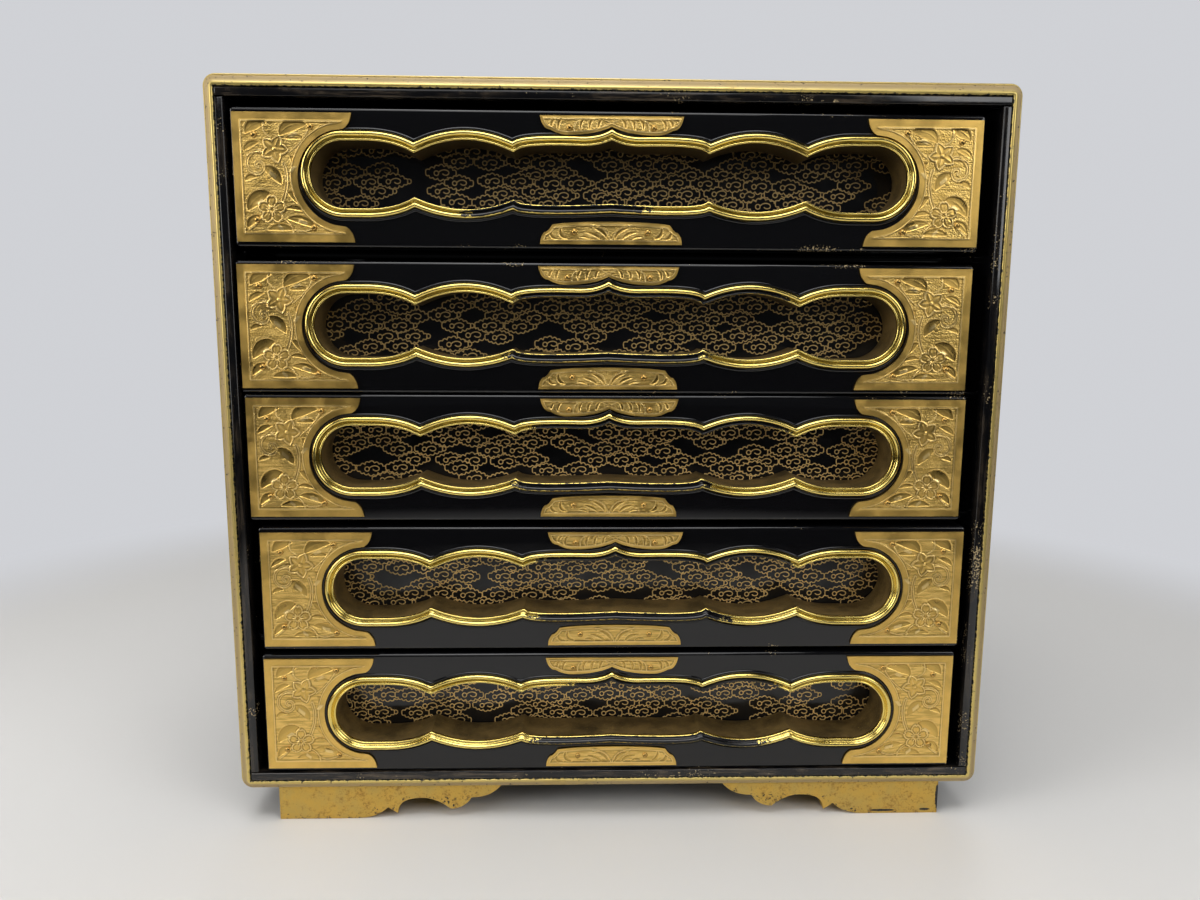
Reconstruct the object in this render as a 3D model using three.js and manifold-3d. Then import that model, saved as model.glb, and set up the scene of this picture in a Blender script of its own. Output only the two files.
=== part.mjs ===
// A black-lacquered sutra box: an open-fronted case on gilded bracket feet, with five shallow drawers.
// Each drawer front has a long lobed recess in a gilded frame, and engraved brass plates.
// Millimetres, +Z up, the front faces -Y, origin under the middle of the feet.
import * as THREE from "three";
import { mergeVertices } from "three/addons/utils/BufferGeometryUtils.js";
import Module from "manifold-3d";

const wasm = await Module();
wasm.setup();

// Case
const CASE_WIDTH = 330;
const CASE_DEPTH = 240;
const CASE_HEIGHT = 303.2;
const FOOT_HEIGHT = 15.6;
const TOP_BOARD = 9;
const SIDE_BOARD = 8.5;
const BOTTOM_BOARD = 8;
const BACK_PANEL = 6;
const SHELF = 3;
const SHELF_SET_BACK = 1;
const EDGE_RADIUS = 5;
const JOINT_GAP = 0.3;

// Gilded moulding let into the outer front edge of the case: a quarter round, then a narrow strip behind it
const ROUND = 3.2;
const STRIP_WIDTH = 1.2;
const STRIP_SET_BACK = 3.8;
const MOULDING_DEPTH = 6;
const MOULDING_WIDTH = STRIP_WIDTH + ROUND;

// Bracket feet
const FOOT_INSET_SIDE = 16;
const FOOT_INSET_FRONT = 3;
const FOOT_INSET_BACK = 2.5;
const FOOT_FRONT_LENGTH = 99;
const FOOT_SIDE_LENGTH = 76;
const FOOT_THICKNESS = 10;
// Turning points of the scalloped edge, as shares of a leg's length and of the foot's height
const SCALLOP = {
  sole: [0.34, 0],
  cusp: [0.485, 0.33],
  tooth: [0.53, 0.15],
  arch: [0.64, 0.62],
  lobe: [0.77, 0.27],
  step: [0.865, 0.62],
};

// Drawers, from the top one down: underside of the front board above the case's underside,
// and how far the drawer stands to the right of the middle
const DRAWERS = [
  { level: 235.8, shift: -2.4 },
  { level: 176.5, shift: -3.3 },
  { level: 122.0, shift: -2.6 },
  { level: 64.6, shift: 0.4 },
  { level: 8.3, shift: -0.6 },
];
const DRAWER_SET_BACK = 1.0;
const FRONT_WIDTH = 305;
const FRONT_HEIGHT = 53.4;
const FRONT_THICKNESS = 18;
const PANEL_THICKNESS = 4;
const TRAY_WIDTH = 300;
const TRAY_HEIGHT = 47;
const TRAY_SIDE = 6;
const TRAY_BOTTOM = 4;
const TRAY_BACK_PLAY = 4;

// Lobed recess: the outer edge of the gilded frame, from the recess's own centre
const RECESS_RISE = 1.0;
const END_LOBE = { centre: 107, radius: 17, flat: 9, shoulder: 8 };
const OUTER_CUSP = { x: 79.5, top: 12.8, bottom: -12.8 };
const INNER_CUSP = { x: 40, top: 13.6, bottom: -13.4 };
const SIDE_LOBE = { top: 17.7, bottom: -17.0 };
const MIDDLE_LOBE = { top: 15.8, shoulderTop: 16.6, shoulderBottom: -16.2, shoulder: 4 };
const MIDDLE_PEAK = { height: 18.8, reach: 12, bend: 4.5 };
const MIDDLE_SAG = -14.3;
const FRAME_WIDTH = 4.2;
const FRAME_PROUD = 1.6;
const FRAME_ROUND = 1.6;

// Brass plates
const PLATES_WIDTH = 302.5;
const PLATES_HEIGHT = 50.4;
const PLATES_RISE = 0.5;
const PLATE_THICKNESS = 0.7;
const END_PLATE = { width: 47.3, arc: 19, arcCentre: 44.2, tip: 6.2, tipStep: 0.6, tipSet: 3.6, tipBend: 4.6 };
const MIDDLE_PLATE_WIDTH = 58;
const UPPER_PLATE = { lobe: 7.4, cusp: 4.1, ear: 4.2, earDrop: 5.4, lobeFrom: 11, cuspBend: 6.5 };
const LOWER_PLATE = { height: 9, shoulder: 5, shoulderDrop: 1.2, step: 1.8, stepDrop: 4.2, bend: 12 };
const NAIL_RADIUS = 1.2;
const NAIL_HEIGHT = 0.6;
const END_NAILS = [[8.5, 8.7], [31, 5.8], [8.5, 41.7], [31, 45]];
const UPPER_NAIL = { inset: 12, drop: 4.6 };
const LOWER_NAIL = { inset: 14, rise: 4.8 };
const RELIEF = 0.3;
const STAR_FLOWER = { u: 16.4, v: 36.2, radius: 5.4, core: 2.2, petals: 5 };
const BLOSSOM = { u: 14.6, v: 12.6, radius: 5.4, core: 3.6, petals: 5 };
const STEM = { width: 1.1, steps: 4, swing: 8, reach: 9 };

const CURVE_STEPS = 3;
const CORNER_STEPS = 2;
const ARC_STEPS = 4;
const NAIL_SIDES = 4;

// Worked-out places
const FRONT_PLANE = -CASE_DEPTH / 2 + FRAME_PROUD - DRAWER_SET_BACK;
const BACK_PLANE = CASE_DEPTH / 2;
const BOARD_DEPTH = BACK_PLANE - FRONT_PLANE;
const BOARD_MIDDLE = (FRONT_PLANE + BACK_PLANE) / 2;
const CASE_MIDDLE = FOOT_HEIGHT + CASE_HEIGHT / 2;
const INSIDE_WIDTH = CASE_WIDTH - 2 * SIDE_BOARD;
const INSIDE_HEIGHT = CASE_HEIGHT - TOP_BOARD - BOTTOM_BOARD;
const INSIDE_MIDDLE = FOOT_HEIGHT + BOTTOM_BOARD + INSIDE_HEIGHT / 2;
const DRAWER_FACE = FRONT_PLANE + DRAWER_SET_BACK;
const FRONT_BACK = DRAWER_FACE + FRONT_THICKNESS;
const PANEL_FRONT = FRONT_BACK + JOINT_GAP;
const TRAY_FRONT = PANEL_FRONT + PANEL_THICKNESS + JOINT_GAP;
const TRAY_REAR = BACK_PLANE - BACK_PANEL - TRAY_BACK_PLAY;

const FINISHES = {
  lacquer: { color: 0x0b0a0c, roughness: 0.12, metalness: 0.0 },
  goldLeaf: { color: 0xb8913f, roughness: 0.32, metalness: 1.0 },
  brass: { color: 0xc3a155, roughness: 0.38, metalness: 1.0 },
  cloudLacquer: { color: 0x14110f, roughness: 0.2, metalness: 0.0 },
  wipedWood: { color: 0x3a2416, roughness: 0.45, metalness: 0.0 },
};

const box = new THREE.Group();

function solidFrom(geometry) {
  const bare = geometry.clone();
  bare.deleteAttribute("normal");
  bare.deleteAttribute("uv");
  const merged = mergeVertices(bare, 1e-4);
  const vertProperties = new Float32Array(merged.attributes.position.array);
  const triVerts = new Uint32Array(merged.index.array);
  return new wasm.Manifold(new wasm.Mesh({ numProp: 3, vertProperties, triVerts }));
}

function geometryFrom(solid) {
  const mesh = solid.getMesh();
  const geometry = new THREE.BufferGeometry();
  geometry.setAttribute("position", new THREE.BufferAttribute(new Float32Array(mesh.vertProperties), 3));
  geometry.setIndex(new THREE.BufferAttribute(new Uint32Array(mesh.triVerts), 1));
  return geometry;
}

function fuse(geometries) {
  const solids = geometries.map(solidFrom);
  return geometryFrom(solids.reduce((whole, part) => whole.add(part)));
}

function cut(geometry, tool) {
  return geometryFrom(solidFrom(geometry).subtract(solidFrom(tool)));
}

function place(name, geometry, finish, x, y, z) {
  const mesh = new THREE.Mesh(geometry, new THREE.MeshStandardMaterial(FINISHES[finish]));
  mesh.name = name;
  mesh.position.set(x, y, z);
  box.add(mesh);
}

// Extrudes a flat outline towards -Y, so that the outline's own up is +Z
function slab(shape, thickness, options = {}) {
  const settings = { depth: thickness, bevelEnabled: false, curveSegments: CURVE_STEPS, ...options };
  return new THREE.ExtrudeGeometry(shape, settings).rotateX(Math.PI / 2);
}

// Moves each corner of a clockwise outline inwards, so that every side shifts by the same distance
function inset(points, distance) {
  return points.map((point, index) => {
    const before = points[(index + points.length - 1) % points.length];
    const after = points[(index + 1) % points.length];
    const arriving = point.clone().sub(before).normalize();
    const leaving = after.clone().sub(point).normalize();
    const inwardA = new THREE.Vector2(arriving.y, -arriving.x);
    const inwardB = new THREE.Vector2(leaving.y, -leaving.x);
    const mitre = inwardA.clone().add(inwardB).normalize();
    return point.clone().addScaledVector(mitre, distance / mitre.dot(inwardA));
  });
}

function ringShape(outer, inner) {
  const clockwise = THREE.ShapeUtils.isClockWise(outer);
  const shape = new THREE.Shape(clockwise ? [...outer].reverse() : outer);
  shape.holes.push(new THREE.Path(inner));
  return shape;
}

// Joins the right half of an outline, given from top to bottom, to its mirror image
function mirrored(half) {
  const onAxis = (point) => Math.abs(point.x) < 1e-6;
  const left = half.filter((point) => !onAxis(point)).reverse();
  return [...half, ...left.map((point) => new THREE.Vector2(-point.x, point.y))];
}

// Case boards

function roundedRectangle(width, height, radius) {
  const right = width / 2 - radius;
  const top = height / 2 - radius;
  const path = new THREE.Path();
  path.moveTo(-right, height / 2);
  path.lineTo(right, height / 2);
  path.absarc(right, top, radius, Math.PI / 2, 0, true);
  path.lineTo(width / 2, -top);
  path.absarc(right, -top, radius, 0, -Math.PI / 2, true);
  path.lineTo(-right, -height / 2);
  path.absarc(-right, -top, radius, -Math.PI / 2, -Math.PI, true);
  path.lineTo(-width / 2, top);
  path.absarc(-right, top, radius, Math.PI, Math.PI / 2, true);
  return path.getPoints(CORNER_STEPS).slice(0, -1);
}

// A board across the case whose two outer long edges are rounded
function roundedBoard(thickness, roundsUp) {
  const half = CASE_WIDTH / 2;
  const shape = new THREE.Shape();
  shape.moveTo(-half, 0);
  shape.lineTo(half, 0);
  shape.lineTo(half, thickness - EDGE_RADIUS);
  shape.absarc(half - EDGE_RADIUS, thickness - EDGE_RADIUS, EDGE_RADIUS, 0, Math.PI / 2, false);
  shape.lineTo(EDGE_RADIUS - half, thickness);
  shape.absarc(EDGE_RADIUS - half, thickness - EDGE_RADIUS, EDGE_RADIUS, Math.PI / 2, Math.PI, false);
  const board = slab(shape, BOARD_DEPTH);
  return roundsUp ? board : board.rotateY(Math.PI);
}

// Outline of the case seen from the front, moved inwards by a distance
function caseOutline(distance) {
  const radius = EDGE_RADIUS - distance;
  return roundedRectangle(CASE_WIDTH - 2 * distance, CASE_HEIGHT - 2 * distance, radius);
}

// What the moulding's seat takes away from the outer front edge of the boards
function mouldingSeat() {
  const outer = caseOutline(-MOULDING_WIDTH);
  const inner = caseOutline(MOULDING_WIDTH + JOINT_GAP);
  const depth = MOULDING_DEPTH + JOINT_GAP;
  const seat = slab(ringShape(outer, inner), 2 * depth);
  return seat.translate(0, FRONT_PLANE + depth, CASE_MIDDLE);
}

function makeCase() {
  const seat = mouldingSeat();
  const roof = FOOT_HEIGHT + CASE_HEIGHT - TOP_BOARD;
  const floor = FOOT_HEIGHT + BOTTOM_BOARD;
  const top = roundedBoard(TOP_BOARD, true).translate(0, BACK_PLANE, roof);
  place("case_top", cut(top, seat), "lacquer", 0, 0, 0);
  const bottom = roundedBoard(BOTTOM_BOARD, false).translate(0, BACK_PLANE, floor);
  place("case_bottom", cut(bottom, seat), "lacquer", 0, 0, 0);
  for (const [hand, side] of [["left", -1], ["right", 1]]) {
    const board = new THREE.BoxGeometry(SIDE_BOARD, BOARD_DEPTH, INSIDE_HEIGHT - 2 * JOINT_GAP);
    board.translate((side * (CASE_WIDTH - SIDE_BOARD)) / 2, BOARD_MIDDLE, INSIDE_MIDDLE);
    place(`case_${hand}_side`, cut(board, seat), "lacquer", 0, 0, 0);
  }
  const backWidth = INSIDE_WIDTH - 2 * JOINT_GAP;
  const back = new THREE.BoxGeometry(backWidth, BACK_PANEL, INSIDE_HEIGHT - 2 * JOINT_GAP);
  place("case_back", back, "lacquer", 0, BACK_PLANE - BACK_PANEL / 2, INSIDE_MIDDLE);
}

function makeFrontMoulding() {
  const strip = slab(new THREE.Shape(caseOutline(0)), MOULDING_DEPTH - STRIP_SET_BACK);
  const rounded = slab(new THREE.Shape(caseOutline(STRIP_WIDTH)), MOULDING_DEPTH - ROUND, {
    bevelEnabled: true,
    bevelSize: ROUND,
    bevelThickness: ROUND,
    bevelOffset: -ROUND,
    bevelSegments: 3,
  });
  const opening = slab(new THREE.Shape(caseOutline(MOULDING_WIDTH)), 2 * CASE_DEPTH);
  const behind = new THREE.BoxGeometry(CASE_WIDTH, 2 * ROUND, CASE_HEIGHT).translate(0, ROUND, 0);
  const moulding = cut(cut(fuse([strip, rounded]), opening.translate(0, CASE_DEPTH, 0)), behind);
  place("front_edge_moulding", moulding, "goldLeaf", 0, FRONT_PLANE + MOULDING_DEPTH, CASE_MIDDLE);
}

function makeShelves() {
  const front = FRONT_BACK + SHELF_SET_BACK;
  const rear = BACK_PLANE - BACK_PANEL - JOINT_GAP;
  const plank = new THREE.BoxGeometry(INSIDE_WIDTH - 2 * JOINT_GAP, rear - front, SHELF);
  DRAWERS.slice(0, -1).forEach(({ level }, index) => {
    const height = FOOT_HEIGHT + level - JOINT_GAP - SHELF / 2;
    place(`shelf_${index + 1}`, plank, "lacquer", 0, (front + rear) / 2, height);
  });
}

// Bracket feet: a flat sole under the corner, then a tooth, an arch and a lobe that rises to the case

function footProfile(length) {
  const at = ([along, up]) => [along * length, up * FOOT_HEIGHT];
  const [soleX] = at(SCALLOP.sole);
  const [cuspX, cuspZ] = at(SCALLOP.cusp);
  const [archX, archZ] = at(SCALLOP.arch);
  const [lobeX, lobeZ] = at(SCALLOP.lobe);
  const [stepX, stepZ] = at(SCALLOP.step);
  const [toothX, toothZ] = at(SCALLOP.tooth);
  const top = FOOT_HEIGHT - JOINT_GAP;
  const shape = new THREE.Shape();
  shape.moveTo(0, 0);
  shape.lineTo(soleX, 0);
  shape.quadraticCurveTo((soleX + 2 * cuspX) / 3, 0, cuspX, cuspZ);
  shape.lineTo(toothX, toothZ);
  shape.quadraticCurveTo(toothX, archZ, archX, archZ);
  shape.quadraticCurveTo((archX + lobeX) / 2, archZ, lobeX, lobeZ);
  shape.quadraticCurveTo((lobeX + 2 * stepX) / 3, lobeZ, stepX, stepZ);
  shape.quadraticCurveTo((stepX + 2 * length) / 3, stepZ, length, top);
  shape.lineTo(0, top);
  return shape;
}

function makeFeet() {
  const leg = (length) => slab(footProfile(length), FOOT_THICKNESS);
  const frontLeg = leg(FOOT_FRONT_LENGTH);
  const sideLeg = leg(FOOT_SIDE_LENGTH).rotateZ(Math.PI / 2).translate(0, -FOOT_THICKNESS, 0);
  const corner = solidFrom(frontLeg).add(solidFrom(sideLeg));
  const reach = CASE_WIDTH / 2 - FOOT_INSET_SIDE;
  const ends = { front: FRONT_PLANE + FOOT_INSET_FRONT, back: BACK_PLANE - FOOT_INSET_BACK };
  for (const [end, y] of Object.entries(ends)) {
    for (const [hand, side] of [["left", -1], ["right", 1]]) {
      const inward = end === "front" ? 1 : -1;
      const turned = corner.translate([0, FOOT_THICKNESS, 0]).scale([-side, inward, 1]);
      const finish = end === "front" ? "goldLeaf" : "lacquer";
      place(`foot_${end}_${hand}`, geometryFrom(turned), finish, side * reach, y, 0);
    }
  }
}

// Drawer fronts

function recessOutline() {
  const { centre, radius, flat, shoulder } = END_LOBE;
  const outer = OUTER_CUSP.x;
  const inner = INNER_CUSP.x;
  const crown = (middle, start, end) => 2 * middle - (start + end) / 2;
  const upper = new THREE.Path();
  upper.moveTo(0, MIDDLE_PEAK.height);
  upper.quadraticCurveTo(MIDDLE_PEAK.bend, MIDDLE_LOBE.top, MIDDLE_PEAK.reach, MIDDLE_LOBE.top);
  upper.quadraticCurveTo(inner - MIDDLE_LOBE.shoulder, MIDDLE_LOBE.shoulderTop, inner, INNER_CUSP.top);
  const upperCrown = crown(SIDE_LOBE.top, INNER_CUSP.top, OUTER_CUSP.top);
  upper.quadraticCurveTo((inner + outer) / 2, upperCrown, outer, OUTER_CUSP.top);
  upper.quadraticCurveTo(outer + shoulder, radius, centre - flat, radius);
  const end = new THREE.Path();
  end.absarc(centre, 0, radius, Math.PI / 2, -Math.PI / 2, true);
  const lower = new THREE.Path();
  lower.moveTo(centre - flat, -radius);
  lower.quadraticCurveTo(outer + shoulder, -radius, outer, OUTER_CUSP.bottom);
  const lowerCrown = crown(SIDE_LOBE.bottom, INNER_CUSP.bottom, OUTER_CUSP.bottom);
  lower.quadraticCurveTo((inner + outer) / 2, lowerCrown, inner, INNER_CUSP.bottom);
  lower.quadraticCurveTo(inner - MIDDLE_LOBE.shoulder, MIDDLE_LOBE.shoulderBottom, 0, MIDDLE_SAG);
  const rightHalf = [upper.getPoints(CURVE_STEPS), end.getPoints(ARC_STEPS), lower.getPoints(CURVE_STEPS)];
  return mirrored(rightHalf.flat());
}

function frontBoard(outline) {
  const left = -FRONT_WIDTH / 2;
  const low = -FRONT_HEIGHT / 2;
  const corners = [
    new THREE.Vector2(left, low),
    new THREE.Vector2(-left, low),
    new THREE.Vector2(-left, -low),
    new THREE.Vector2(left, -low),
  ];
  const raised = outline.map((point) => point.clone().add(new THREE.Vector2(0, RECESS_RISE)));
  return slab(ringShape(corners, raised), FRONT_THICKNESS);
}

// The gilded frame lines the whole depth of the cut-out and ends in a rounded bead in front of the board
function recessFrame(outline) {
  const length = FRONT_THICKNESS + FRAME_PROUD - FRAME_ROUND;
  const core = slab(new THREE.Shape(inset(outline, JOINT_GAP)), length, {
    bevelEnabled: true,
    bevelSize: FRAME_ROUND,
    bevelThickness: FRAME_ROUND,
    bevelOffset: -FRAME_ROUND,
    bevelSegments: 1,
  });
  const opening = slab(new THREE.Shape(inset(outline, FRAME_WIDTH)), 3 * FRONT_THICKNESS);
  const behind = new THREE.BoxGeometry(FRONT_WIDTH, 2 * FRAME_ROUND, FRONT_HEIGHT);
  const hollow = cut(core, opening.translate(0, FRONT_THICKNESS, 0));
  return cut(hollow, behind.translate(0, FRAME_ROUND, 0));
}

function tray() {
  const length = TRAY_REAR - TRAY_FRONT;
  const outside = new THREE.BoxGeometry(TRAY_WIDTH, length, TRAY_HEIGHT);
  const hollow = new THREE.BoxGeometry(TRAY_WIDTH - 2 * TRAY_SIDE, length, TRAY_HEIGHT);
  return cut(outside, hollow.translate(0, -TRAY_SIDE, TRAY_BOTTOM));
}

// Brass plates, each drawn from its outer lower corner: u runs inwards, v upwards

// A low pointed head that is driven into the sheet for half its height
function nail(u, v) {
  const head = new THREE.ConeGeometry(NAIL_RADIUS, 2 * NAIL_HEIGHT, NAIL_SIDES).rotateX(Math.PI);
  return head.translate(u, -PLATE_THICKNESS, v);
}

function flower({ u, v, radius, core, petals }) {
  const points = [];
  for (let step = 0; step < 2 * petals; step += 1) {
    const angle = (step * Math.PI) / petals + Math.PI / 2;
    const reach = step % 2 === 0 ? radius : core;
    points.push(new THREE.Vector2(u + reach * Math.cos(angle), v + reach * Math.sin(angle)));
  }
  return slab(new THREE.Shape(points), PLATE_THICKNESS + RELIEF);
}

// The stem bends from the blossom up the inner side of the plate to the star flower
function stem() {
  const bend = new THREE.CubicBezierCurve(
    new THREE.Vector2(BLOSSOM.u, BLOSSOM.v + BLOSSOM.core),
    new THREE.Vector2(BLOSSOM.u + STEM.swing, BLOSSOM.v + STEM.reach),
    new THREE.Vector2(STAR_FLOWER.u + STEM.swing, STAR_FLOWER.v - STEM.reach),
    new THREE.Vector2(STAR_FLOWER.u, STAR_FLOWER.v - STAR_FLOWER.core),
  );
  const spine = bend.getPoints(STEM.steps);
  const edge = (offset) => spine.map((point, index) => {
    const along = bend.getTangent(index / STEM.steps);
    return point.clone().add(new THREE.Vector2(-along.y, along.x).multiplyScalar(offset));
  });
  const outline = [...edge(STEM.width / 2), ...edge(-STEM.width / 2).reverse()];
  return slab(new THREE.Shape(outline), PLATE_THICKNESS + RELIEF);
}

function endPlate() {
  const { width, arc, arcCentre, tip, tipStep, tipSet, tipBend } = END_PLATE;
  const half = PLATES_HEIGHT / 2;
  const from = -Math.PI / 2 - Math.acos((half - tip - tipStep) / arc);
  const shape = new THREE.Shape();
  shape.moveTo(0, 0);
  shape.lineTo(width, 0);
  shape.quadraticCurveTo(width - tipStep, tipBend, width - tipSet, tip);
  shape.absarc(arcCentre, half, arc, from, -2 * Math.PI - from, true);
  shape.lineTo(width - tipSet, PLATES_HEIGHT - tip);
  shape.quadraticCurveTo(width - tipStep, PLATES_HEIGHT - tipBend, width, PLATES_HEIGHT);
  shape.lineTo(0, PLATES_HEIGHT);
  const sheet = slab(shape, PLATE_THICKNESS);
  const nails = END_NAILS.map(([u, v]) => nail(u, v));
  return fuse([sheet, flower(STAR_FLOWER), flower(BLOSSOM), stem(), ...nails]);
}

// The upper middle plate hangs in two lobes that meet in a cusp over the recess's peak
function upperPlate() {
  const { lobe, cusp, ear, earDrop, lobeFrom, cuspBend } = UPPER_PLATE;
  const half = MIDDLE_PLATE_WIDTH / 2;
  const path = new THREE.Path();
  path.moveTo(half, 0);
  path.quadraticCurveTo(half - ear / 4, -earDrop, half - ear, -earDrop);
  path.quadraticCurveTo((half - ear + half - lobeFrom) / 2, -lobe, half - lobeFrom, -lobe);
  path.quadraticCurveTo(cuspBend, -lobe, 0, -cusp);
  const sheet = slab(new THREE.Shape(mirrored(path.getPoints(CURVE_STEPS))), PLATE_THICKNESS);
  const across = half - UPPER_NAIL.inset;
  return fuse([sheet, nail(-across, -UPPER_NAIL.drop), nail(across, -UPPER_NAIL.drop)]);
}

// The lower middle plate has a gently arched upper edge and stepped ends
function lowerPlate() {
  const { height, shoulder, shoulderDrop, step, stepDrop, bend } = LOWER_PLATE;
  const half = MIDDLE_PLATE_WIDTH / 2;
  const path = new THREE.Path();
  path.moveTo(0, height);
  path.quadraticCurveTo(half - bend, height, half - shoulder, height - shoulderDrop);
  path.quadraticCurveTo(half - shoulder + step, height - stepDrop, half - step, height - stepDrop);
  path.quadraticCurveTo(half, height - stepDrop - step, half, 0);
  const sheet = slab(new THREE.Shape(mirrored(path.getPoints(CURVE_STEPS))), PLATE_THICKNESS);
  const across = half - LOWER_NAIL.inset;
  return fuse([sheet, nail(-across, LOWER_NAIL.rise), nail(across, LOWER_NAIL.rise)]);
}

function makeDrawers() {
  const outline = recessOutline();
  const front = frontBoard(outline);
  const frame = recessFrame(outline);
  const panel = new THREE.BoxGeometry(TRAY_WIDTH, PANEL_THICKNESS, TRAY_HEIGHT);
  const trough = tray();
  const leftPlate = endPlate();
  const rightPlate = geometryFrom(solidFrom(leftPlate).mirror([1, 0, 0]));
  const upper = upperPlate();
  const lower = lowerPlate();
  const plateBack = DRAWER_FACE - JOINT_GAP;
  DRAWERS.forEach(({ level, shift }, index) => {
    const drawer = `drawer_${index + 1}`;
    const bottom = FOOT_HEIGHT + level;
    const middle = bottom + FRONT_HEIGHT / 2;
    const traySet = bottom + TRAY_HEIGHT / 2;
    const plateLow = middle + PLATES_RISE - PLATES_HEIGHT / 2;
    place(`${drawer}_front_board`, front, "lacquer", shift, FRONT_BACK, middle);
    place(`${drawer}_recess_frame`, frame, "goldLeaf", shift, FRONT_BACK, middle + RECESS_RISE);
    place(`${drawer}_cloud_panel`, panel, "cloudLacquer", shift, PANEL_FRONT + PANEL_THICKNESS / 2, traySet);
    place(`${drawer}_tray`, trough, "wipedWood", shift, (TRAY_FRONT + TRAY_REAR) / 2, traySet);
    place(`${drawer}_end_plate_left`, leftPlate, "brass", shift - PLATES_WIDTH / 2, plateBack, plateLow);
    place(`${drawer}_end_plate_right`, rightPlate, "brass", shift + PLATES_WIDTH / 2, plateBack, plateLow);
    place(`${drawer}_upper_plate`, upper, "brass", shift, plateBack, plateLow + PLATES_HEIGHT);
    place(`${drawer}_lower_plate`, lower, "brass", shift, plateBack, plateLow);
  });
}

makeCase();
makeFrontMoulding();
makeShelves();
makeFeet();
makeDrawers();

export default box;
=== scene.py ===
"""Dresses the frame of a black-lacquered sutra box with five drawers, and sets its camera and stage."""

import math
import random

import bmesh
import bpy
import numpy as np
from bpy.props import FloatProperty, FloatVectorProperty, IntProperty, PointerProperty
from mathutils import Matrix, Vector


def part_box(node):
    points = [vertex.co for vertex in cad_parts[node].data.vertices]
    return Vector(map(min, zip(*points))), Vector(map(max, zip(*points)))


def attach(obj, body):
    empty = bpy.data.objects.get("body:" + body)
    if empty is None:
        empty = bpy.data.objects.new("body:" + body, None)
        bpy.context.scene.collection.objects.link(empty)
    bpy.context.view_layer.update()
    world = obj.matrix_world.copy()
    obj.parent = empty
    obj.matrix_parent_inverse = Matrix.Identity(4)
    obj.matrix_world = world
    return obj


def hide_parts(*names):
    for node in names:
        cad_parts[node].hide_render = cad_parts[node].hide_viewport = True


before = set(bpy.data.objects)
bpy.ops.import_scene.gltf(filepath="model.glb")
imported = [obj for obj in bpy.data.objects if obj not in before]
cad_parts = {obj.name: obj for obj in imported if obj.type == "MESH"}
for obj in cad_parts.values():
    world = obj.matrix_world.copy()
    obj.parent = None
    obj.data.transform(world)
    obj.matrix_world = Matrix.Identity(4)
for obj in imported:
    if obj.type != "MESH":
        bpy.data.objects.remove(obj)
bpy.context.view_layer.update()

bl_info = {
    "name": "Lacquered Sutra Box",
    "version": (1, 0, 0),
    "blender": (4, 5, 0),
    "location": "View3D > Sidebar > Sutra Box",
    "description": "Models the boards, drawers, brass plates and finishes of a lacquered sutra box",
    "category": "Add Mesh",
}

MM = 0.001
DRAWERS = (1, 2, 3, 4, 5)
UP = Vector((0, 0, 1))

# Angles in degrees beyond which an edge is shaded sharp, on the pieces and on the chased plates
SHARP_ANGLE = 42.0
PLATE_SHARP_ANGLE = 60.0

# Margin of a broad face that takes part in its edge's wear
WORN_MARGIN = 2.5 * MM

# Places read from the frame
CASE_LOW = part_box("front_edge_moulding")[0]
CASE_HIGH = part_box("front_edge_moulding")[1]
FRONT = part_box("case_top")[0].y
MOULDING_DEPTH = CASE_HIGH.y - FRONT

# Gilded edge of the case: a bead next to the black front, a sloped face and a narrow strip behind it
EDGE_RADIUS = 5 * MM
EDGE_WIDTH = 4.7 * MM
EDGE_SINK = 0.5 * MM
EDGE_BEAD = 0.9 * MM
SLOPE_DEPTH = 0.9 * MM
STRIP_WIDTH = 1.0 * MM
STRIP_SET_BACK = 2.2 * MM
SEAT_GAP = 0.3 * MM
SLOPE_FOOT = ((STRIP_WIDTH + 0.1 * MM, SLOPE_DEPTH + 0.15 * MM), (STRIP_WIDTH + 0.3 * MM, SLOPE_DEPTH))
SLOPE_CREST = (2.1 * MM, 0.72 * MM)

# Where the gilded edge is bright, counted inwards, and how far it is rubbed next to the black and at corners
BRIGHT_STRIP_END = (0.9 * MM, 1.2 * MM)
BRIGHT_BEAD_START = (2.7 * MM, 3.5 * MM)
STRIP_BRIGHTNESS = 0.4
BEAD_BRIGHTNESS = 0.6
BLACK_BORDER = 0.6 * MM
BORDER_WEAR = 0.4
CORNER_REACH = (3 * MM, 12 * MM)
CORNER_WEAR = 0.36

# How far the front strip of the case is rubbed brown, on level and on upright boards
LEVEL_WEAR = 1.0
UPRIGHT_WEAR = 0.45

# For each drawer, in millimetres: how far its front rises above the solid's, and its recess's centre above
# the solid's middle
FRONT_RISES = (1.3, 0.6, 0.6, 1.2, 0.8)
RECESS_RISES = (2.0, 1.1, 1.0, 0.9, 0.4)

# Recess in a drawer front: the gilded frame's outer edge, from the recess's own centre
END_LOBE_CENTRE = 108 * MM
END_LOBE_RADIUS = 17 * MM
END_LOBE_FLAT = 9 * MM
END_LOBE_SHOULDER = 8 * MM
OUTER_CUSP = 79.5 * MM
OUTER_CUSP_RISE = 12.8 * MM
INNER_CUSP = 40 * MM
INNER_CUSP_TOP = 13.6 * MM
INNER_CUSP_BOTTOM = -13.4 * MM
SIDE_LOBE_TOP = 17.7 * MM
SIDE_LOBE_BOTTOM = -17.0 * MM
MIDDLE_TOP = 15.8 * MM
MIDDLE_SHOULDER = 4 * MM
MIDDLE_SHOULDER_TOP = 16.6 * MM
MIDDLE_SHOULDER_BOTTOM = -16.2 * MM
PEAK = 18.8 * MM
PEAK_REACH = 12 * MM
PEAK_BEND = 4.5 * MM
SAG = -14.3 * MM
RECESS_FRAME_WIDTH = 3.8 * MM

# Points on each kind of stretch of that edge
STRETCH_STEPS = {"middle": 24, "side": 20, "end": 60, "under": 22}

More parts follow.
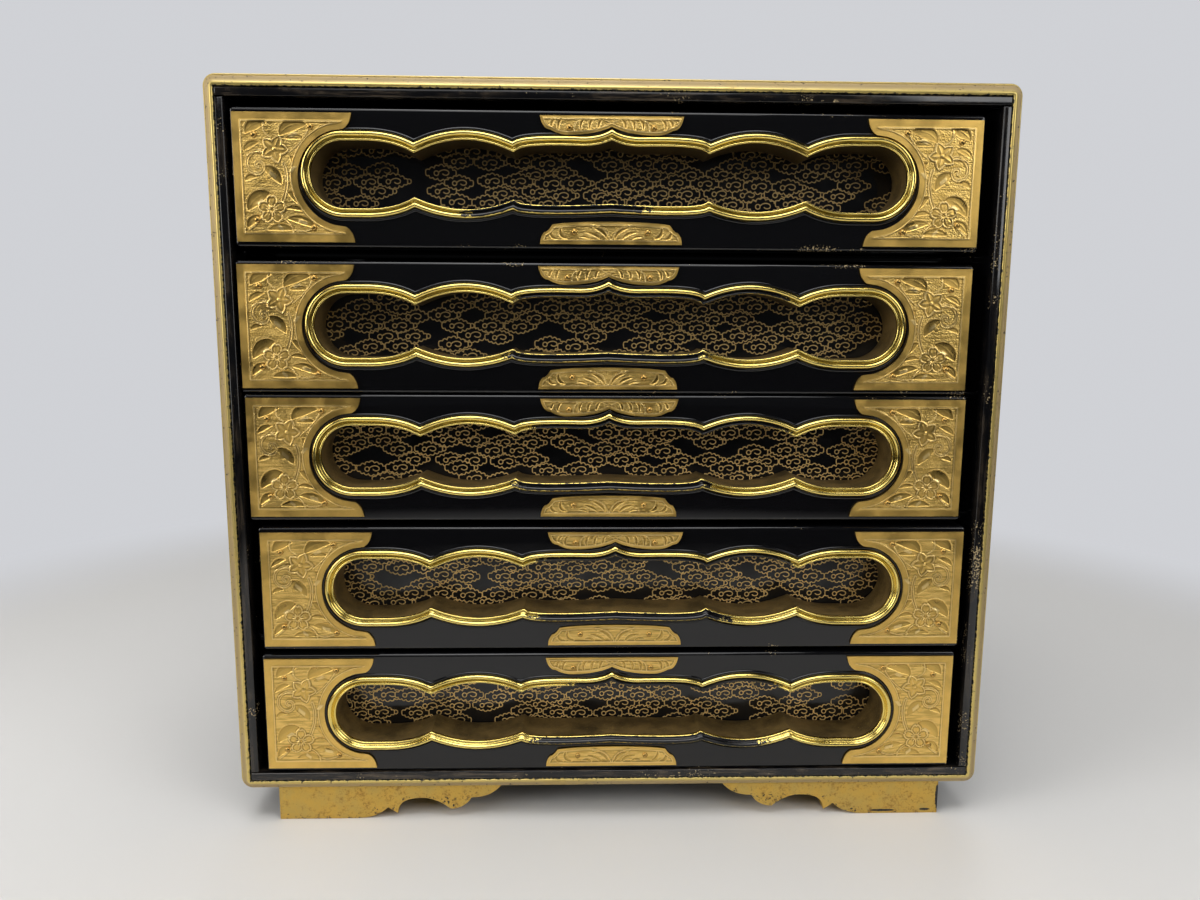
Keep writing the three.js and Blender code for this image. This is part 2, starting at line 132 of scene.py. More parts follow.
# Section of the gilded frame: its seat in the board, what it rises to between its beads, and its lining
FRAME_SEAT = 0.05 * MM
BEAD_FOOT = 0.1 * MM
HOLLOW_RISE = 0.28 * MM
LIP_RISE = 0.45 * MM
LINING_STOPS = (0.7 * MM, 9 * MM, 17.8 * MM)
FRAME_BACK = 17.6 * MM
POWDER_START = 0.8 * MM

# Stretches of each drawer's gilded rim that fingers have rubbed black, in millimetres from its middle
LOWER_RIM_WORN = ((-62, 16), (-44, 44), (-42, 46), (-36, 52), (-36, 70))
UPPER_RIM_WORN = ((-3, 3), (-40, 78), (-34, 78), (-36, 78), (-20, 76))
RIM_FEATHER = 12.0
RIM_WEAR = 0.9

# Brass plates, drawn in millimetres: u runs inwards from the outer edge, v up from the lower edge
PLATE_THICKNESS = 0.7 * MM
PLATE_HEIGHT = 50.4
END_WIDTH = 47.3
END_ARC = 19.0
END_ARC_CENTRE = 44.2
TIP_HEIGHT = 6.2
TIP_STEP = 0.6
TIP_SET = 3.6
TIP_BEND = 4.6
MIDDLE_HALF = 29.0
UPPER_LOBE = 7.4
UPPER_CUSP = 4.1
UPPER_EAR = 4.2
UPPER_EAR_DROP = 5.4
UPPER_LOBE_FROM = 11.0
UPPER_CUSP_BEND = 6.5
LOWER_HEIGHT = 9.0
LOWER_SHOULDER = 5.0
LOWER_SHOULDER_DROP = 1.2
LOWER_STEP = 1.8
LOWER_STEP_DROP = 4.2
LOWER_BEND = 12.0
STAR = (16.5, 36.2)
BLOSSOM = (14.6, 12.6)
SPIRAL = (9.8, 29.9)
END_BORDER = 3.1
END_ARC_BORDER = 2.3
END_NAILS = ((8.5, 8.7), (31, 5.8), (8.5, 41.7), (31, 45))
UPPER_NAILS = ((-17, -4.6), (17, -4.6))
LOWER_NAILS = ((-15, 4.8), (15, 4.8))

# Share of punched ground on a plate's plain border; leaves have none and the ground has all, and below this
# share the mark darkens leaves with painted shade
PLAIN = 0.55

# Bracket feet
FOOT_THICKNESS = 10 * MM
FOOT_SOLE = (0.34, 0.0)
FOOT_CUSP = (0.485, 0.33)
FOOT_TOOTH = (0.53, 0.15)
FOOT_ARCH = (0.64, 0.62)
FOOT_LOBE = (0.77, 0.27)
FOOT_STEP = (0.865, 0.62)

# Chips in the right front foot's gilding: place and reach
FOOT_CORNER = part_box("foot_front_right")
FOOT_CHIPS = (
    (Vector((FOOT_CORNER[1].x - 25.5 * MM, FOOT_CORNER[0].y, 1.5 * MM)), (7 * MM, 2 * MM, 0.6 * MM)),
    (Vector((FOOT_CORNER[1].x - 5.6 * MM, FOOT_CORNER[0].y, 1.8 * MM)), (2.6 * MM, 2 * MM, 0.6 * MM)),
    (Vector((FOOT_CORNER[1].x, FOOT_CORNER[0].y, 8 * MM)), (1.3 * MM, 2 * MM, 6.5 * MM)),
)

# Trays
TRAY_SIDE = 6 * MM
TRAY_BOTTOM = 4 * MM

# Camera, solved on the case's edges and the plates' corners; its angles are in degrees
CAMERA_PLACE = Vector((-17.2, -493.4, 224.0)) * MM
CAMERA_YAW = 1.644
CAMERA_PITCH = -8.456
CAMERA_ROLL = 0.329
SENSOR_WIDTH = 36

# Backdrop that the camera sees, the painted dark that mirrors see on the far floor, and where the floor runs
# out into them
BACKDROP = (0.63, 0.64, 0.67, 1.0)
FAR_FLOOR_SHADE = (0.02, 0.02, 0.02, 1.0)
ROOM_TINT = (0.9, 0.95, 1.0, 1.0)
ROOM_LIGHT = 0.05
FLOOR_FADE = (0.42, 0.64)


def length(name, words, default):
    return FloatProperty(name=name, description=words, default=default, unit="LENGTH")


class BoxSizes(bpy.types.PropertyGroup):
    """Sizes of the fine work that the solids leave out"""

    arris: length("Arris", "Rounding of the case's board edges", 0.6 * MM)
    drawer_arris: length("Drawer arris", "Rounding of the drawer fronts' edges", 1.3 * MM)
    drawer_corner: length(
        "Drawer corner", "Corner radius of a drawer front seen from the front", 1.6 * MM)
    fillet_width: length(
        "Fillet width", "Width of the black half-round fillet outside the gilded frame", 1.3 * MM)
    fillet_height: length(
        "Fillet height", "How far the black fillet stands out of the drawer front", 0.6 * MM)
    bead_width: length("Bead width", "Width of the outer gilded bead", 2.1 * MM)
    bead_height: length(
        "Bead height", "How far the gilded bead stands out of the drawer front", 1.6 * MM)
    lip_width: length("Lip width", "Width of the small inner bead next to the opening", 0.9 * MM)
    plate_step: length(
        "Plate step", "Spacing of the mesh that carries the brass plates' relief", 0.38 * MM)
    nail_radius: length("Nail radius", "Radius of the domed brass nails", 1.2 * MM)
    nail_height: length("Nail height", "How far a nail's dome stands out of its plate", 0.75 * MM)
    cloud_line: length("Cloud line", "Width of the gold line that draws the clouds", 0.47 * MM)
    cloud_pitch: length("Cloud pitch", "Distance from one cloud to the next in a row", 13.0 * MM)
    cloud_rise: length("Cloud rise", "Height from one row of clouds to the next", 4.2 * MM)
    cloud_seed: IntProperty(
        name="Cloud seed", description="Seed that spreads the clouds over the panels", default=11)
    foot_arris: length("Foot arris", "Rounding of the feet's edges", 0.7 * MM)
    lens: FloatProperty(
        name="Lens", description="Focal length on a 36 mm wide sensor", default=26.83, unit="CAMERA")
    floor_size: length("Floor size", "Side of the square floor", 8.0)


def tint(name, words, red, green, blue):
    return FloatVectorProperty(
        name=name, description=words, default=(red, green, blue, 1.0), size=4, subtype="COLOR",
        min=0.0, max=1.0)


class BoxFinishes(bpy.types.PropertyGroup):
    """Colours of the box's finishes"""

    lacquer: tint("Lacquer", "Black lacquer", 0.003, 0.003, 0.0036)
    rubbed: tint("Rubbed lacquer", "Brown tone of the rubbed front strip", 0.07, 0.053, 0.036)
    bared: tint("Bared edge", "Pale ground coat where lacquer has chipped", 0.38, 0.29, 0.15)
    leaf: tint("Gold leaf", "Bright gold leaf", 0.83, 0.65, 0.19)
    leaf_dull: tint("Dull leaf", "Gold leaf in the dull, browned patches", 0.54, 0.38, 0.1)
    tan_leaf: tint("Tan leaf", "Rubbed, tan gilding on the edge of the case", 0.36, 0.265, 0.125)
    powder: tint("Gold powder", "Brown gold powder inside the recesses", 0.22, 0.145, 0.05)
    ochre: tint("Ochre gilding", "Matt gilding on the feet", 0.63, 0.4, 0.08)
    earth: tint("Earth", "Brown stains in the feet's gilding", 0.3, 0.155, 0.035)
    brass: tint("Brass", "Plain brass of the plates", 0.84, 0.55, 0.145)
    brass_ground: tint("Brass ground", "Punched ground of the plates", 0.92, 0.63, 0.19)
    # The crest colour also paints a glint on the plates' chisel cuts
    crest: tint("Crest", "Rubbed bright lines of the plates", 0.97, 0.75, 0.34)
    film: tint("Film", "Brown film in the plates' grooves", 0.26, 0.15, 0.035)
    nail: tint("Nail", "Darker brass of the nail heads", 0.44, 0.28, 0.08)
    cloud_gold: tint("Cloud gold", "Gold line of the clouds", 0.98, 0.68, 0.27)
    wood: tint("Wood", "Wiped brown lacquer on the trays", 0.085, 0.036, 0.016)
    wood_grain: tint("Wood grain", "Dark grain of the trays", 0.03, 0.012, 0.006)
    floor: tint("Floor", "Pale floor", 0.66, 0.65, 0.635)


# Finishes

class Finish:
    """A material being wired: each method adds one node and returns its output."""

    def __init__(self, name):
        self.material = bpy.data.materials.new(name)
        self.material.use_nodes = True
        self.tree = self.material.node_tree
        self.shader = next(n for n in self.tree.nodes if n.type == "BSDF_PRINCIPLED")
        self.place = self.add("ShaderNodeTexCoord").outputs["Object"]

    def add(self, kind):
        return self.tree.nodes.new(kind)

    def feed(self, socket, value):
        if isinstance(value, bpy.types.NodeSocket):
            self.tree.links.new(value, socket)
        else:
            socket.default_value = value

    def stretched(self, *factors):
        node = self.add("ShaderNodeMapping")
        self.feed(node.inputs["Vector"], self.place)
        node.inputs["Scale"].default_value = factors
        return node.outputs["Vector"]

    def noise(self, size, detail=3.0, roughness=0.55, place=None, distortion=0.0):
        node = self.add("ShaderNodeTexNoise")
        self.feed(node.inputs["Vector"], place or self.place)
        node.inputs["Scale"].default_value = 1.0 / size
        node.inputs["Detail"].default_value = detail
        node.inputs["Roughness"].default_value = roughness
        node.inputs["Distortion"].default_value = distortion
        return node.outputs["Fac"]

    def off(self, centre, reach):
        """Distance from a place, counted in its reach along each axis."""
        scaled = self.add("ShaderNodeMapping")
        self.feed(scaled.inputs["Vector"], self.place)
        scaled.inputs["Scale"].default_value = [1 / share for share in reach]
        scaled.inputs["Location"].default_value = [-spot / share for spot, share in zip(centre, reach)]
        length = self.add("ShaderNodeVectorMath")
        length.operation = "LENGTH"
        self.feed(length.inputs[0], scaled.outputs["Vector"])
        return length.outputs["Value"]

    def cells(self, size):
        node = self.add("ShaderNodeTexVoronoi")
        self.feed(node.inputs["Vector"], self.place)
        node.inputs["Scale"].default_value = 1.0 / size
        return node.outputs["Distance"]

    def mark(self, name):
        node = self.add("ShaderNodeAttribute")
        node.attribute_name = name
        return node.outputs["Fac"]

    def spread(self, value, low, high, start=0.0, end=1.0):
        """The value's stretch from low to high, eased over start to end."""
        node = self.add("ShaderNodeMapRange")
        node.interpolation_type = "SMOOTHSTEP"
        self.feed(node.inputs["Value"], value)
        for name, number in zip(("From Min", "From Max", "To Min", "To Max"), (low, high, start, end)):
            node.inputs[name].default_value = number
        return node.outputs["Result"]

    def maths(self, operation, first, second):
        node = self.add("ShaderNodeMath")
        node.operation = operation
        self.feed(node.inputs[0], first)
        self.feed(node.inputs[1], second)
        return node.outputs["Value"]

    def times(self, first, second):
        return self.maths("MULTIPLY", first, second)

    def plus(self, first, second):
        return self.maths("ADD", first, second)

    def most(self, first, second):
        return self.maths("MAXIMUM", first, second)

    def blend(self, share, first, second):
        node = self.add("ShaderNodeMix")
        node.data_type = "RGBA"
        self.feed(node.inputs[0], share)
        self.feed(node.inputs[6], first)
        self.feed(node.inputs[7], second)
        return node.outputs[2]

    def bump(self, height, depth, under=None):
        node = self.add("ShaderNodeBump")
        node.inputs["Strength"].default_value = 1.0
        node.inputs["Distance"].default_value = depth
        self.feed(node.inputs["Height"], height)
        if under:
            self.feed(node.inputs["Normal"], under)
        return node.outputs["Normal"]

    def dress(self, **sockets):
        for name, value in sockets.items():
            self.feed(self.shader.inputs[name.replace("_", " ").title()], value)
        return self.material


def shaded(colour, share):
    """A colour with its three channels multiplied by a share."""
    return tuple(channel * share for channel in colour[:3]) + (1.0,)


def gloss_lacquer(tints):
    """Deep gloss black with pale chips on the edges, and a front strip that is rubbed brown in streaks."""
    finish = Finish("gloss_lacquer")
    specks = finish.times(finish.noise(0.8 * MM, 3.0, 0.6), finish.noise(22 * MM, 2.0))
    chipped = finish.spread(finish.times(finish.mark("edge"), specks), 0.4, 0.43)
    rubbed = finish.mark("wear")
    level = finish.noise(1.5 * MM, 4.0, 0.6, finish.stretched(0.08, 1.0, 1.0))
    upright = finish.noise(1.5 * MM, 4.0, 0.6, finish.stretched(1.0, 1.0, 0.08))
    streaks = finish.blend(finish.mark("ground"), level, upright)
    patches = finish.noise(16 * MM, 3.0, 0.6)
    scuffs = finish.times(finish.spread(streaks, 0.4, 0.66), finish.spread(patches, 0.36, 0.62))
    brown = finish.blend(finish.times(rubbed, scuffs), tints.lacquer, tints.rubbed)
    glints = finish.times(streaks, finish.noise(2.2 * MM, 4.0, 0.7))
    flecked = finish.spread(finish.times(rubbed, glints), 0.395, 0.43)
    bared = finish.most(chipped, flecked)
    colour = finish.blend(bared, brown, tints.bared)
    haze = finish.spread(finish.noise(9 * MM, 5.0, 0.65), 0.35, 0.8, 0.03, 0.12)
    rubbed_haze = finish.plus(haze, finish.times(rubbed, 0.08))
    rough = finish.plus(rubbed_haze, finish.times(bared, 0.4))
    waves = finish.bump(finish.noise(55 * MM, 0.0), 0.4 * MM)
    dust = finish.bump(finish.spread(finish.noise(0.9 * MM, 2.0), 0.68, 0.8), 0.005 * MM, waves)
    return finish.dress(base_color=colour, roughness=rough, normal=dust)


def worn_leaf(tints):
    """Smooth burnished leaf, tan and matt where it is dulled, and rubbed to black where it is worn."""
    finish = Finish("worn_leaf")
    dulled = finish.mark("ground")
    mottle = finish.spread(finish.noise(14 * MM, 4.0, 0.6), 0.46, 0.82, 0.0, 0.5)
    burnished = finish.blend(mottle, tints.leaf, tints.leaf_dull)
    matt = finish.blend(mottle, tints.tan_leaf, tints.leaf_dull)
    leaf = finish.blend(dulled, burnished, matt)
    grain = finish.times(finish.noise(1.8 * MM, 4.0, 0.7), 1.7)
    worn = finish.spread(finish.plus(finish.mark("wear"), grain), 1.33, 1.43)
    colour = finish.blend(worn, leaf, tints.lacquer)
    bright = finish.spread(worn, 0.0, 1.0, 1.0, 0.0)
    metal = finish.times(bright, finish.spread(dulled, 0.0, 1.0, 1.0, 0.3))
    gloss = finish.spread(finish.noise(7 * MM, 3.0), 0.3, 0.75, 0.16, 0.28)
    rough = finish.plus(gloss, finish.times(dulled, 0.34))
    relief = finish.bump(finish.noise(6 * MM, 2.0, 0.5), 0.02 * MM)
    hollows = finish.bump(bright, 0.03 * MM, relief)
    return finish.dress(base_color=colour, metallic=metal, roughness=rough, normal=hollows)


def gold_powder(tints):
    """Dull brown gold powder on the walls of the recesses, with a few bright grains, clouded darker at random
    and darkened towards the top of each recess as painted shade.
    """
    finish = Finish("gold_powder")
    cloudy = finish.spread(finish.noise(11 * MM, 4.0, 0.65), 0.3, 0.75)
    dark = shaded(tints.powder, 0.3)
    # Painted shade: the edge mark darkens the powder towards the top of each recess
    clouding_and_shade = finish.most(cloudy, finish.mark("edge"))
    base = finish.blend(clouding_and_shade, tints.powder, dark)
    grains = finish.spread(finish.noise(0.7 * MM, 3.0, 0.8), 0.6, 0.72)
    colour = finish.blend(grains, base, tints.leaf_dull)
    normal = finish.bump(finish.noise(0.8 * MM, 4.0, 0.7), 0.12 * MM)
    return finish.dress(base_color=colour, metallic=0.55, roughness=0.5, normal=normal)


def ochre_gilding(tints):
    """Matt gilding of the feet, stained brown, pitted, and chipped to black on its edges."""
    finish = Finish("ochre_gilding")
    broad = finish.spread(finish.noise(13 * MM, 5.0, 0.7), 0.36, 0.7)
    base = finish.blend(broad, tints.ochre, tints.leaf_dull)
    stain = finish.times(finish.noise(6 * MM, 5.0, 0.75), finish.noise(1.1 * MM, 3.0, 0.7))
    stained = finish.blend(finish.spread(stain, 0.24, 0.4, 0.0, 0.75), base, tints.earth)
    pits = finish.spread(finish.noise(0.8 * MM, 3.0, 0.8), 0.66, 0.74, 0.0, 0.8)
    pitted = finish.blend(pits, stained, tints.wood)
    flakes = finish.noise(1.5 * MM, 4.0, 0.7)
    bare = finish.spread(finish.times(finish.mark("edge"), flakes), 0.56, 0.62)
    for place, reach in FOOT_CHIPS:
        ragged = finish.plus(finish.off(place, reach), finish.times(flakes, 0.8))
        bare = finish.most(bare, finish.spread(ragged, 1.35, 1.2))
    colour = finish.blend(bare, pitted, tints.lacquer)
    metal = finish.spread(bare, 0.0, 1.0, 0.7, 0.0)
    grain = finish.bump(finish.noise(0.9 * MM, 4.0, 0.7), 0.14 * MM)
    hollows = finish.bump(metal, 0.2 * MM, grain)
    return finish.dress(base_color=colour, metallic=metal, roughness=0.46, normal=hollows)


def chased_brass(tints):
    """Satin brass with a paler punched ground, bright crests and a brown film in the grooves; leaves are
    darkened with painted shade, and chisel cuts get a painted glint in the crest colour.
    """
    finish = Finish("chased_brass")
    ground = finish.mark("ground")
    stain = finish.spread(finish.noise(14 * MM, 5.0, 0.65), 0.38, 0.78)
    dull = shaded(tints.brass, 0.76)
    # Painted shade: leaves are darkened towards this colour, most where they are sunk deepest
    sunken = shaded(tints.brass, 0.66)
    plain = finish.blend(stain, tints.brass, dull)
    leaved = finish.blend(finish.spread(ground, 0.0, PLAIN), sunken, plain)
    open_ground = finish.spread(ground, PLAIN, 1.0)
    hatching = finish.noise(0.8 * MM, 1.0, 0.5, finish.stretched(0.1, 1.0, 1.0))
    hatched = finish.blend(finish.spread(hatching, 0.4, 0.65), tints.brass_ground, dull)
    punched = finish.blend(open_ground, leaved, hatched)
    filmed = finish.blend(finish.times(finish.mark("wear"), 0.75), punched, tints.film)
    # The edge mark holds the rubbed crests and, on the chisel cuts, a painted glint
    colour = finish.blend(finish.times(finish.mark("edge"), 0.8), filmed, tints.crest)
    sheen = finish.spread(finish.noise(9 * MM, 3.0, 0.6), 0.3, 0.7, -0.12, 0.06)
    rough = finish.plus(finish.spread(ground, 0.0, PLAIN, 0.33, 0.43), sheen)
    punches = finish.times(finish.plus(finish.cells(0.6 * MM), hatching), open_ground)
    pits = finish.bump(punches, 0.11 * MM)
    hammered = finish.bump(finish.noise(2.6 * MM, 2.0), 0.03 * MM, pits)
    return finish.dress(base_color=colour, metallic=1.0, roughness=rough, normal=hammered)


def nail_brass(tints):
    """Darker, rounder-polished brass of the nail heads."""
    finish = Finish("nail_brass")
    rough = finish.spread(finish.noise(1.5 * MM, 3.0), 0.3, 0.7, 0.22, 0.34)
    return finish.dress(base_color=tints.nail, metallic=1.0, roughness=rough)


def cloud_ground(tints):
    """Black lacquer of the panels behind the recesses, a little less glossy than the fronts."""
    finish = Finish("cloud_ground")
    haze = finish.spread(finish.noise(7 * MM, 4.0), 0.3, 0.75, 0.1, 0.24)
    waves = finish.bump(finish.noise(30 * MM, 1.0), 0.35 * MM)
    shade = finish.spread(finish.noise(20 * MM, 3.0), 0.3, 0.8)
    warm = shaded(tints.lacquer, 2.2)
    colour = finish.blend(shade, tints.lacquer, warm)
    return finish.dress(base_color=colour, roughness=haze, normal=waves)


def cloud_gold(tints):
    """Sprinkled gold line, thinner and browner at random in places, and darkened on the upper drawers as
    painted shade.
    """
    finish = Finish("cloud_gold")
    thin = finish.spread(finish.noise(9 * MM, 5.0, 0.7), 0.4, 0.72, 0.0, 0.6)
    thinned_and_shaded = shaded(tints.cloud_gold, 0.3)
    # The wear mark carries painted shade, strongest on the top drawer
    colour = finish.blend(finish.most(thin, finish.mark("wear")), tints.cloud_gold, thinned_and_shaded)
    rough = finish.spread(finish.noise(1.2 * MM, 3.0), 0.3, 0.7, 0.42, 0.56)
    return finish.dress(base_color=colour, metallic=0.55, roughness=rough)


def grained_wood(tints):
    """Straight-grained wood under a thin wiped brown lacquer."""
    finish = Finish("grained_wood")
    along = finish.stretched(0.06, 1.0, 1.0)
    grain = finish.noise(2.4 * MM, 5.0, 0.65, along, 0.4)
    bands = finish.noise(14 * MM, 3.0, 0.5, along)
    streaks = finish.spread(finish.plus(grain, finish.times(bands, 0.5)), 0.55, 0.95)
    colour = finish.blend(streaks, tints.wood, tints.wood_grain)
    rough = finish.spread(grain, 0.3, 0.7, 0.32, 0.5)
    normal = finish.bump(grain, 0.05 * MM)
    return finish.dress(base_color=colour, roughness=rough, normal=normal)


def pale_floor(tints):
    """Pale floor that runs out into the backdrop, and that a mirror sees lit only near the box; further out a
    mirror sees a painted near-black glow.
    """
    finish = Finish("pale_floor")
    finish.dress(base_color=tints.floor, roughness=0.5)
    far = finish.spread(finish.off((0, 0, 0), (1, 1, 1)), *FLOOR_FADE)
    rays = finish.add("ShaderNodeLightPath")
    glow = finish.add("ShaderNodeEmission")
    # Painted shade: past the fade, mirrors see the floor glow near black in place of lit floor
    backdrop = finish.blend(rays.outputs["Is Camera Ray"], FAR_FLOOR_SHADE, BACKDROP)
    finish.feed(glow.inputs["Color"], backdrop)
    choice = finish.add("ShaderNodeMixShader")
    finish.feed(choice.inputs[0], far)
    finish.feed(choice.inputs[1], finish.shader.outputs[0])
    finish.feed(choice.inputs[2], glow.outputs[0])
    output = next(node for node in finish.tree.nodes if node.type == "OUTPUT_MATERIAL")
    finish.feed(output.inputs["Surface"], choice.outputs[0])
    return finish.material


MAKERS = {
    maker.__name__: maker
    for maker in (gloss_lacquer, worn_leaf, gold_powder, ochre_gilding, chased_brass, nail_brass,
                  cloud_ground, cloud_gold, grained_wood, pale_floor)
}


def finish_named(name):
    """The finish of that name, made the first time it is asked for."""
    known = bpy.data.materials.get(name)
    return known or MAKERS[name](bpy.context.scene.sutra_finishes)


# Pieces

def blank():
    """An empty bmesh with the marks that the finishes read."""
    bm = bmesh.new()
    for mark in ("edge", "wear", "ground"):
        bm.verts.layers.float.new(mark)
    return bm


def set_mark(bm, faces, name, value):
    """Gives the corners of faces one value of a mark."""
    layer = bm.verts.layers.float[name]
    for face in faces:
        for vert in face.verts:
            vert[layer] = value


def keep(bm, name, body, nodes, finishes):
    """Turns a bmesh into a piece that rides on a body and stands for its solids."""
    bmesh.ops.recalc_face_normals(bm, faces=bm.faces)
    for face in bm.faces:
        face.smooth = max(abs(share) for share in face.normal) < 0.99999
    mesh = bpy.data.meshes.new(name)
    bm.to_mesh(mesh)
    bm.free()
    keep_mesh(mesh, name, body, nodes, finishes, SHARP_ANGLE)


def keep_mesh(mesh, name, body, nodes, finishes, sharp):
    mesh.set_sharp_from_angle(angle=math.radians(sharp))
    for finish in finishes:
        mesh.materials.append(finish_named(finish))
    piece = bpy.data.objects.new(name, mesh)
    bpy.context.scene.collection.objects.link(piece)
    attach(piece, body)
    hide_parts(*nodes)


def board(bm, low, high, arris):
    """A board between two corners with eased edges."""
    verts = bmesh.ops.create_cube(bm, size=1.0)["verts"]
    bmesh.ops.scale(bm, vec=high - low, verts=verts)
    bmesh.ops.translate(bm, vec=(low + high) / 2, verts=verts)
    edges = list(dict.fromkeys(edge for vert in verts for edge in vert.link_edges))
    others = set(bm.faces) - {face for vert in verts for face in vert.link_faces}
    rounded = ease(bm, edges, arris)
    calm(bm, [face for face in bm.faces if face not in others and face not in rounded])


def calm(bm, faces):
    """Takes the edge mark off the middle of broad faces, so that it stays near their edges."""
    broad = [face for face in faces if min(edge.calc_length() for edge in face.edges) > 4 * WORN_MARGIN]
    bmesh.ops.inset_individual(bm, faces=broad, thickness=WORN_MARGIN, use_even_offset=True)
    set_mark(bm, broad, "edge", 0.0)


def ease(bm, edges, radius):
    """Rounds edges and marks them, so that the finish can wear there."""
    rounded = bmesh.ops.bevel(
        bm, geom=edges, offset=radius, offset_type="OFFSET", affect="EDGES", segments=3,
        profile=0.5, material=-1, clamp_overlap=True)
    set_mark(bm, rounded["faces"], "edge", 1.0)
    return set(rounded["faces"])


def wrapped(bm, rings, marks=None):
    """Lays a grid over closed rings of points and joins its two ends. Marks hold a value for each point."""
    rows = len(rings) - 1
    size = len(rings[0])
    verts = bmesh.ops.create_grid(bm, x_segments=size, y_segments=rows, size=1.0)["verts"]
    for vert in verts:
        column = round((vert.co.x + 1) / 2 * size) % size
        row = round((vert.co.y + 1) / 2 * rows)
        vert.co = rings[row][column]
        for mark, values in (marks or {}).items():
            vert[bm.verts.layers.float[mark]] = values[row][column]
    bmesh.ops.remove_doubles(bm, verts=verts, dist=1e-7)


def bend(start, control, end, steps):
    """Points of a quadratic curve, both ends included."""
    share = np.linspace(0, 1, steps + 1)[:, None]
    start, control, end = (np.array(point, float) for point in (start, control, end))
    return (1 - share) ** 2 * start + 2 * share * (1 - share) * control + share ** 2 * end


def arc(centre, radius, start, end, steps):
    """Points of a circle's arc between two angles in degrees."""
    angle = np.radians(np.linspace(start, end, steps + 1))
    return np.array(centre) + radius * np.stack([np.cos(angle), np.sin(angle)], axis=1)


def joined(*stretches):
    """Stretches that follow each other as one line, without the doubled points between them."""
    line = np.concatenate(stretches)
    steps = np.linalg.norm(np.diff(line, axis=0), axis=1)
    return line[np.concatenate([[True], steps > 1e-9])]


def evenly(line, steps):
    """A line resampled at equal distances."""
    reach = np.concatenate([[0], np.cumsum(np.linalg.norm(np.diff(line, axis=0), axis=1))])
    places = np.linspace(0, reach[-1], steps + 1)
    return np.stack([np.interp(places, reach, line[:, axis]) for axis in (0, 1)], axis=1)


def stepped(line, step):
    """A line resampled at about that spacing."""
    length = np.linalg.norm(np.diff(line, axis=0), axis=1).sum()
    return evenly(line, round(length / step))


def sideways(line):
    """Unit vectors square to a line, on its right-hand side."""
    along = np.gradient(line, axis=0)
    along /= np.linalg.norm(along, axis=1)[:, None]
    return np.stack([along[:, 1], -along[:, 0]], axis=1)


def eased(value, low, high):
    """0 below low, 1 above high and a smooth step between them."""
    share = np.clip((np.asarray(value, float) - low) / (high - low), 0, 1)
    return share * share * (3 - 2 * share)


# Recess outline

def recess_stretches():
    """The smooth stretches of the recess's outline, clockwise from its peak, with a corner after each."""
    middle = joined(
        bend((0, PEAK), (PEAK_BEND, MIDDLE_TOP), (PEAK_REACH, MIDDLE_TOP), 16),
        bend((PEAK_REACH, MIDDLE_TOP), (INNER_CUSP - MIDDLE_SHOULDER, MIDDLE_SHOULDER_TOP),
             (INNER_CUSP, INNER_CUSP_TOP), 24))
    half_way = (INNER_CUSP + OUTER_CUSP) / 2
    crown = 2 * SIDE_LOBE_TOP - (INNER_CUSP_TOP + OUTER_CUSP_RISE) / 2
    side = bend((INNER_CUSP, INNER_CUSP_TOP), (half_way, crown), (OUTER_CUSP, OUTER_CUSP_RISE), 32)
    rise = bend((OUTER_CUSP, OUTER_CUSP_RISE), (OUTER_CUSP + END_LOBE_SHOULDER, END_LOBE_RADIUS),
                (END_LOBE_CENTRE - END_LOBE_FLAT, END_LOBE_RADIUS), 20)
    bow = arc((END_LOBE_CENTRE, 0), END_LOBE_RADIUS, 90, -90, 48)
    end = joined(rise, bow, rise[::-1] * (1, -1))
    trough = 2 * SIDE_LOBE_BOTTOM - (INNER_CUSP_BOTTOM - OUTER_CUSP_RISE) / 2
    under_side = bend((OUTER_CUSP, -OUTER_CUSP_RISE), (half_way, trough), (INNER_CUSP, INNER_CUSP_BOTTOM), 32)
    under = bend((INNER_CUSP, INNER_CUSP_BOTTOM), (INNER_CUSP - MIDDLE_SHOULDER, MIDDLE_SHOULDER_BOTTOM),
                 (0, SAG), 32)
    right = [middle, side, end, under_side, under]
    return right + [stretch[::-1] * (-1, 1) for stretch in reversed(right)]


def crossing(first, second):
    """Where two lines cross near the end of the first and the start of the second, or None."""
    for i in range(len(first) - 2, -1, -1):
        along = first[i + 1] - first[i]
        across = np.diff(second, axis=0)
        away = second[:-1] - first[i]
        turn = along[0] * across[:, 1] - along[1] * across[:, 0]
        turn[np.abs(turn) < 1e-18] = 1e-18
        here = (away[:, 0] * across[:, 1] - away[:, 1] * across[:, 0]) / turn
        there = (away[:, 0] * along[1] - away[:, 1] * along[0]) / turn
        met = np.nonzero((here >= 0) & (here <= 1) & (there >= 0) & (there <= 1))[0]
        if len(met):
            return i, met[0], first[i] + here[met[0]] * along
    return None


def mitred(first, second):
    """Two neighbouring lines, cut back to where they cross or run on to where they would meet."""
    found = crossing(first, second)
    if found:
        i, j, point = found
        return np.vstack([first[:i + 1], point]), np.vstack([point, second[j + 1:]])
    out = first[-1] - first[-2]
    back = second[0] - second[1]
    gap = second[0] - first[-1]
    turn = out[0] * back[1] - out[1] * back[0]
    if abs(turn) < 1e-4 * np.linalg.norm(out) * np.linalg.norm(back):
        return first, second
    point = first[-1] + out * (gap[0] * back[1] - gap[1] * back[0]) / turn
    return np.vstack([first, point]), np.vstack([point, second])


def recess_ring(distance):
    """The recess's outline moved inwards by a distance, with as many points whatever the distance."""
    stretches = [line + distance * sideways(line) for line in recess_stretches()]
    for index in range(len(stretches)):
        after = (index + 1) % len(stretches)
        stretches[index], stretches[after] = mitred(stretches[index], stretches[after])
    names = ("middle", "side", "end", "side", "under", "under", "side", "end", "side", "middle")
    return np.concatenate([
        evenly(line, STRETCH_STEPS[name])[:-1] for name, line in zip(names, stretches)])


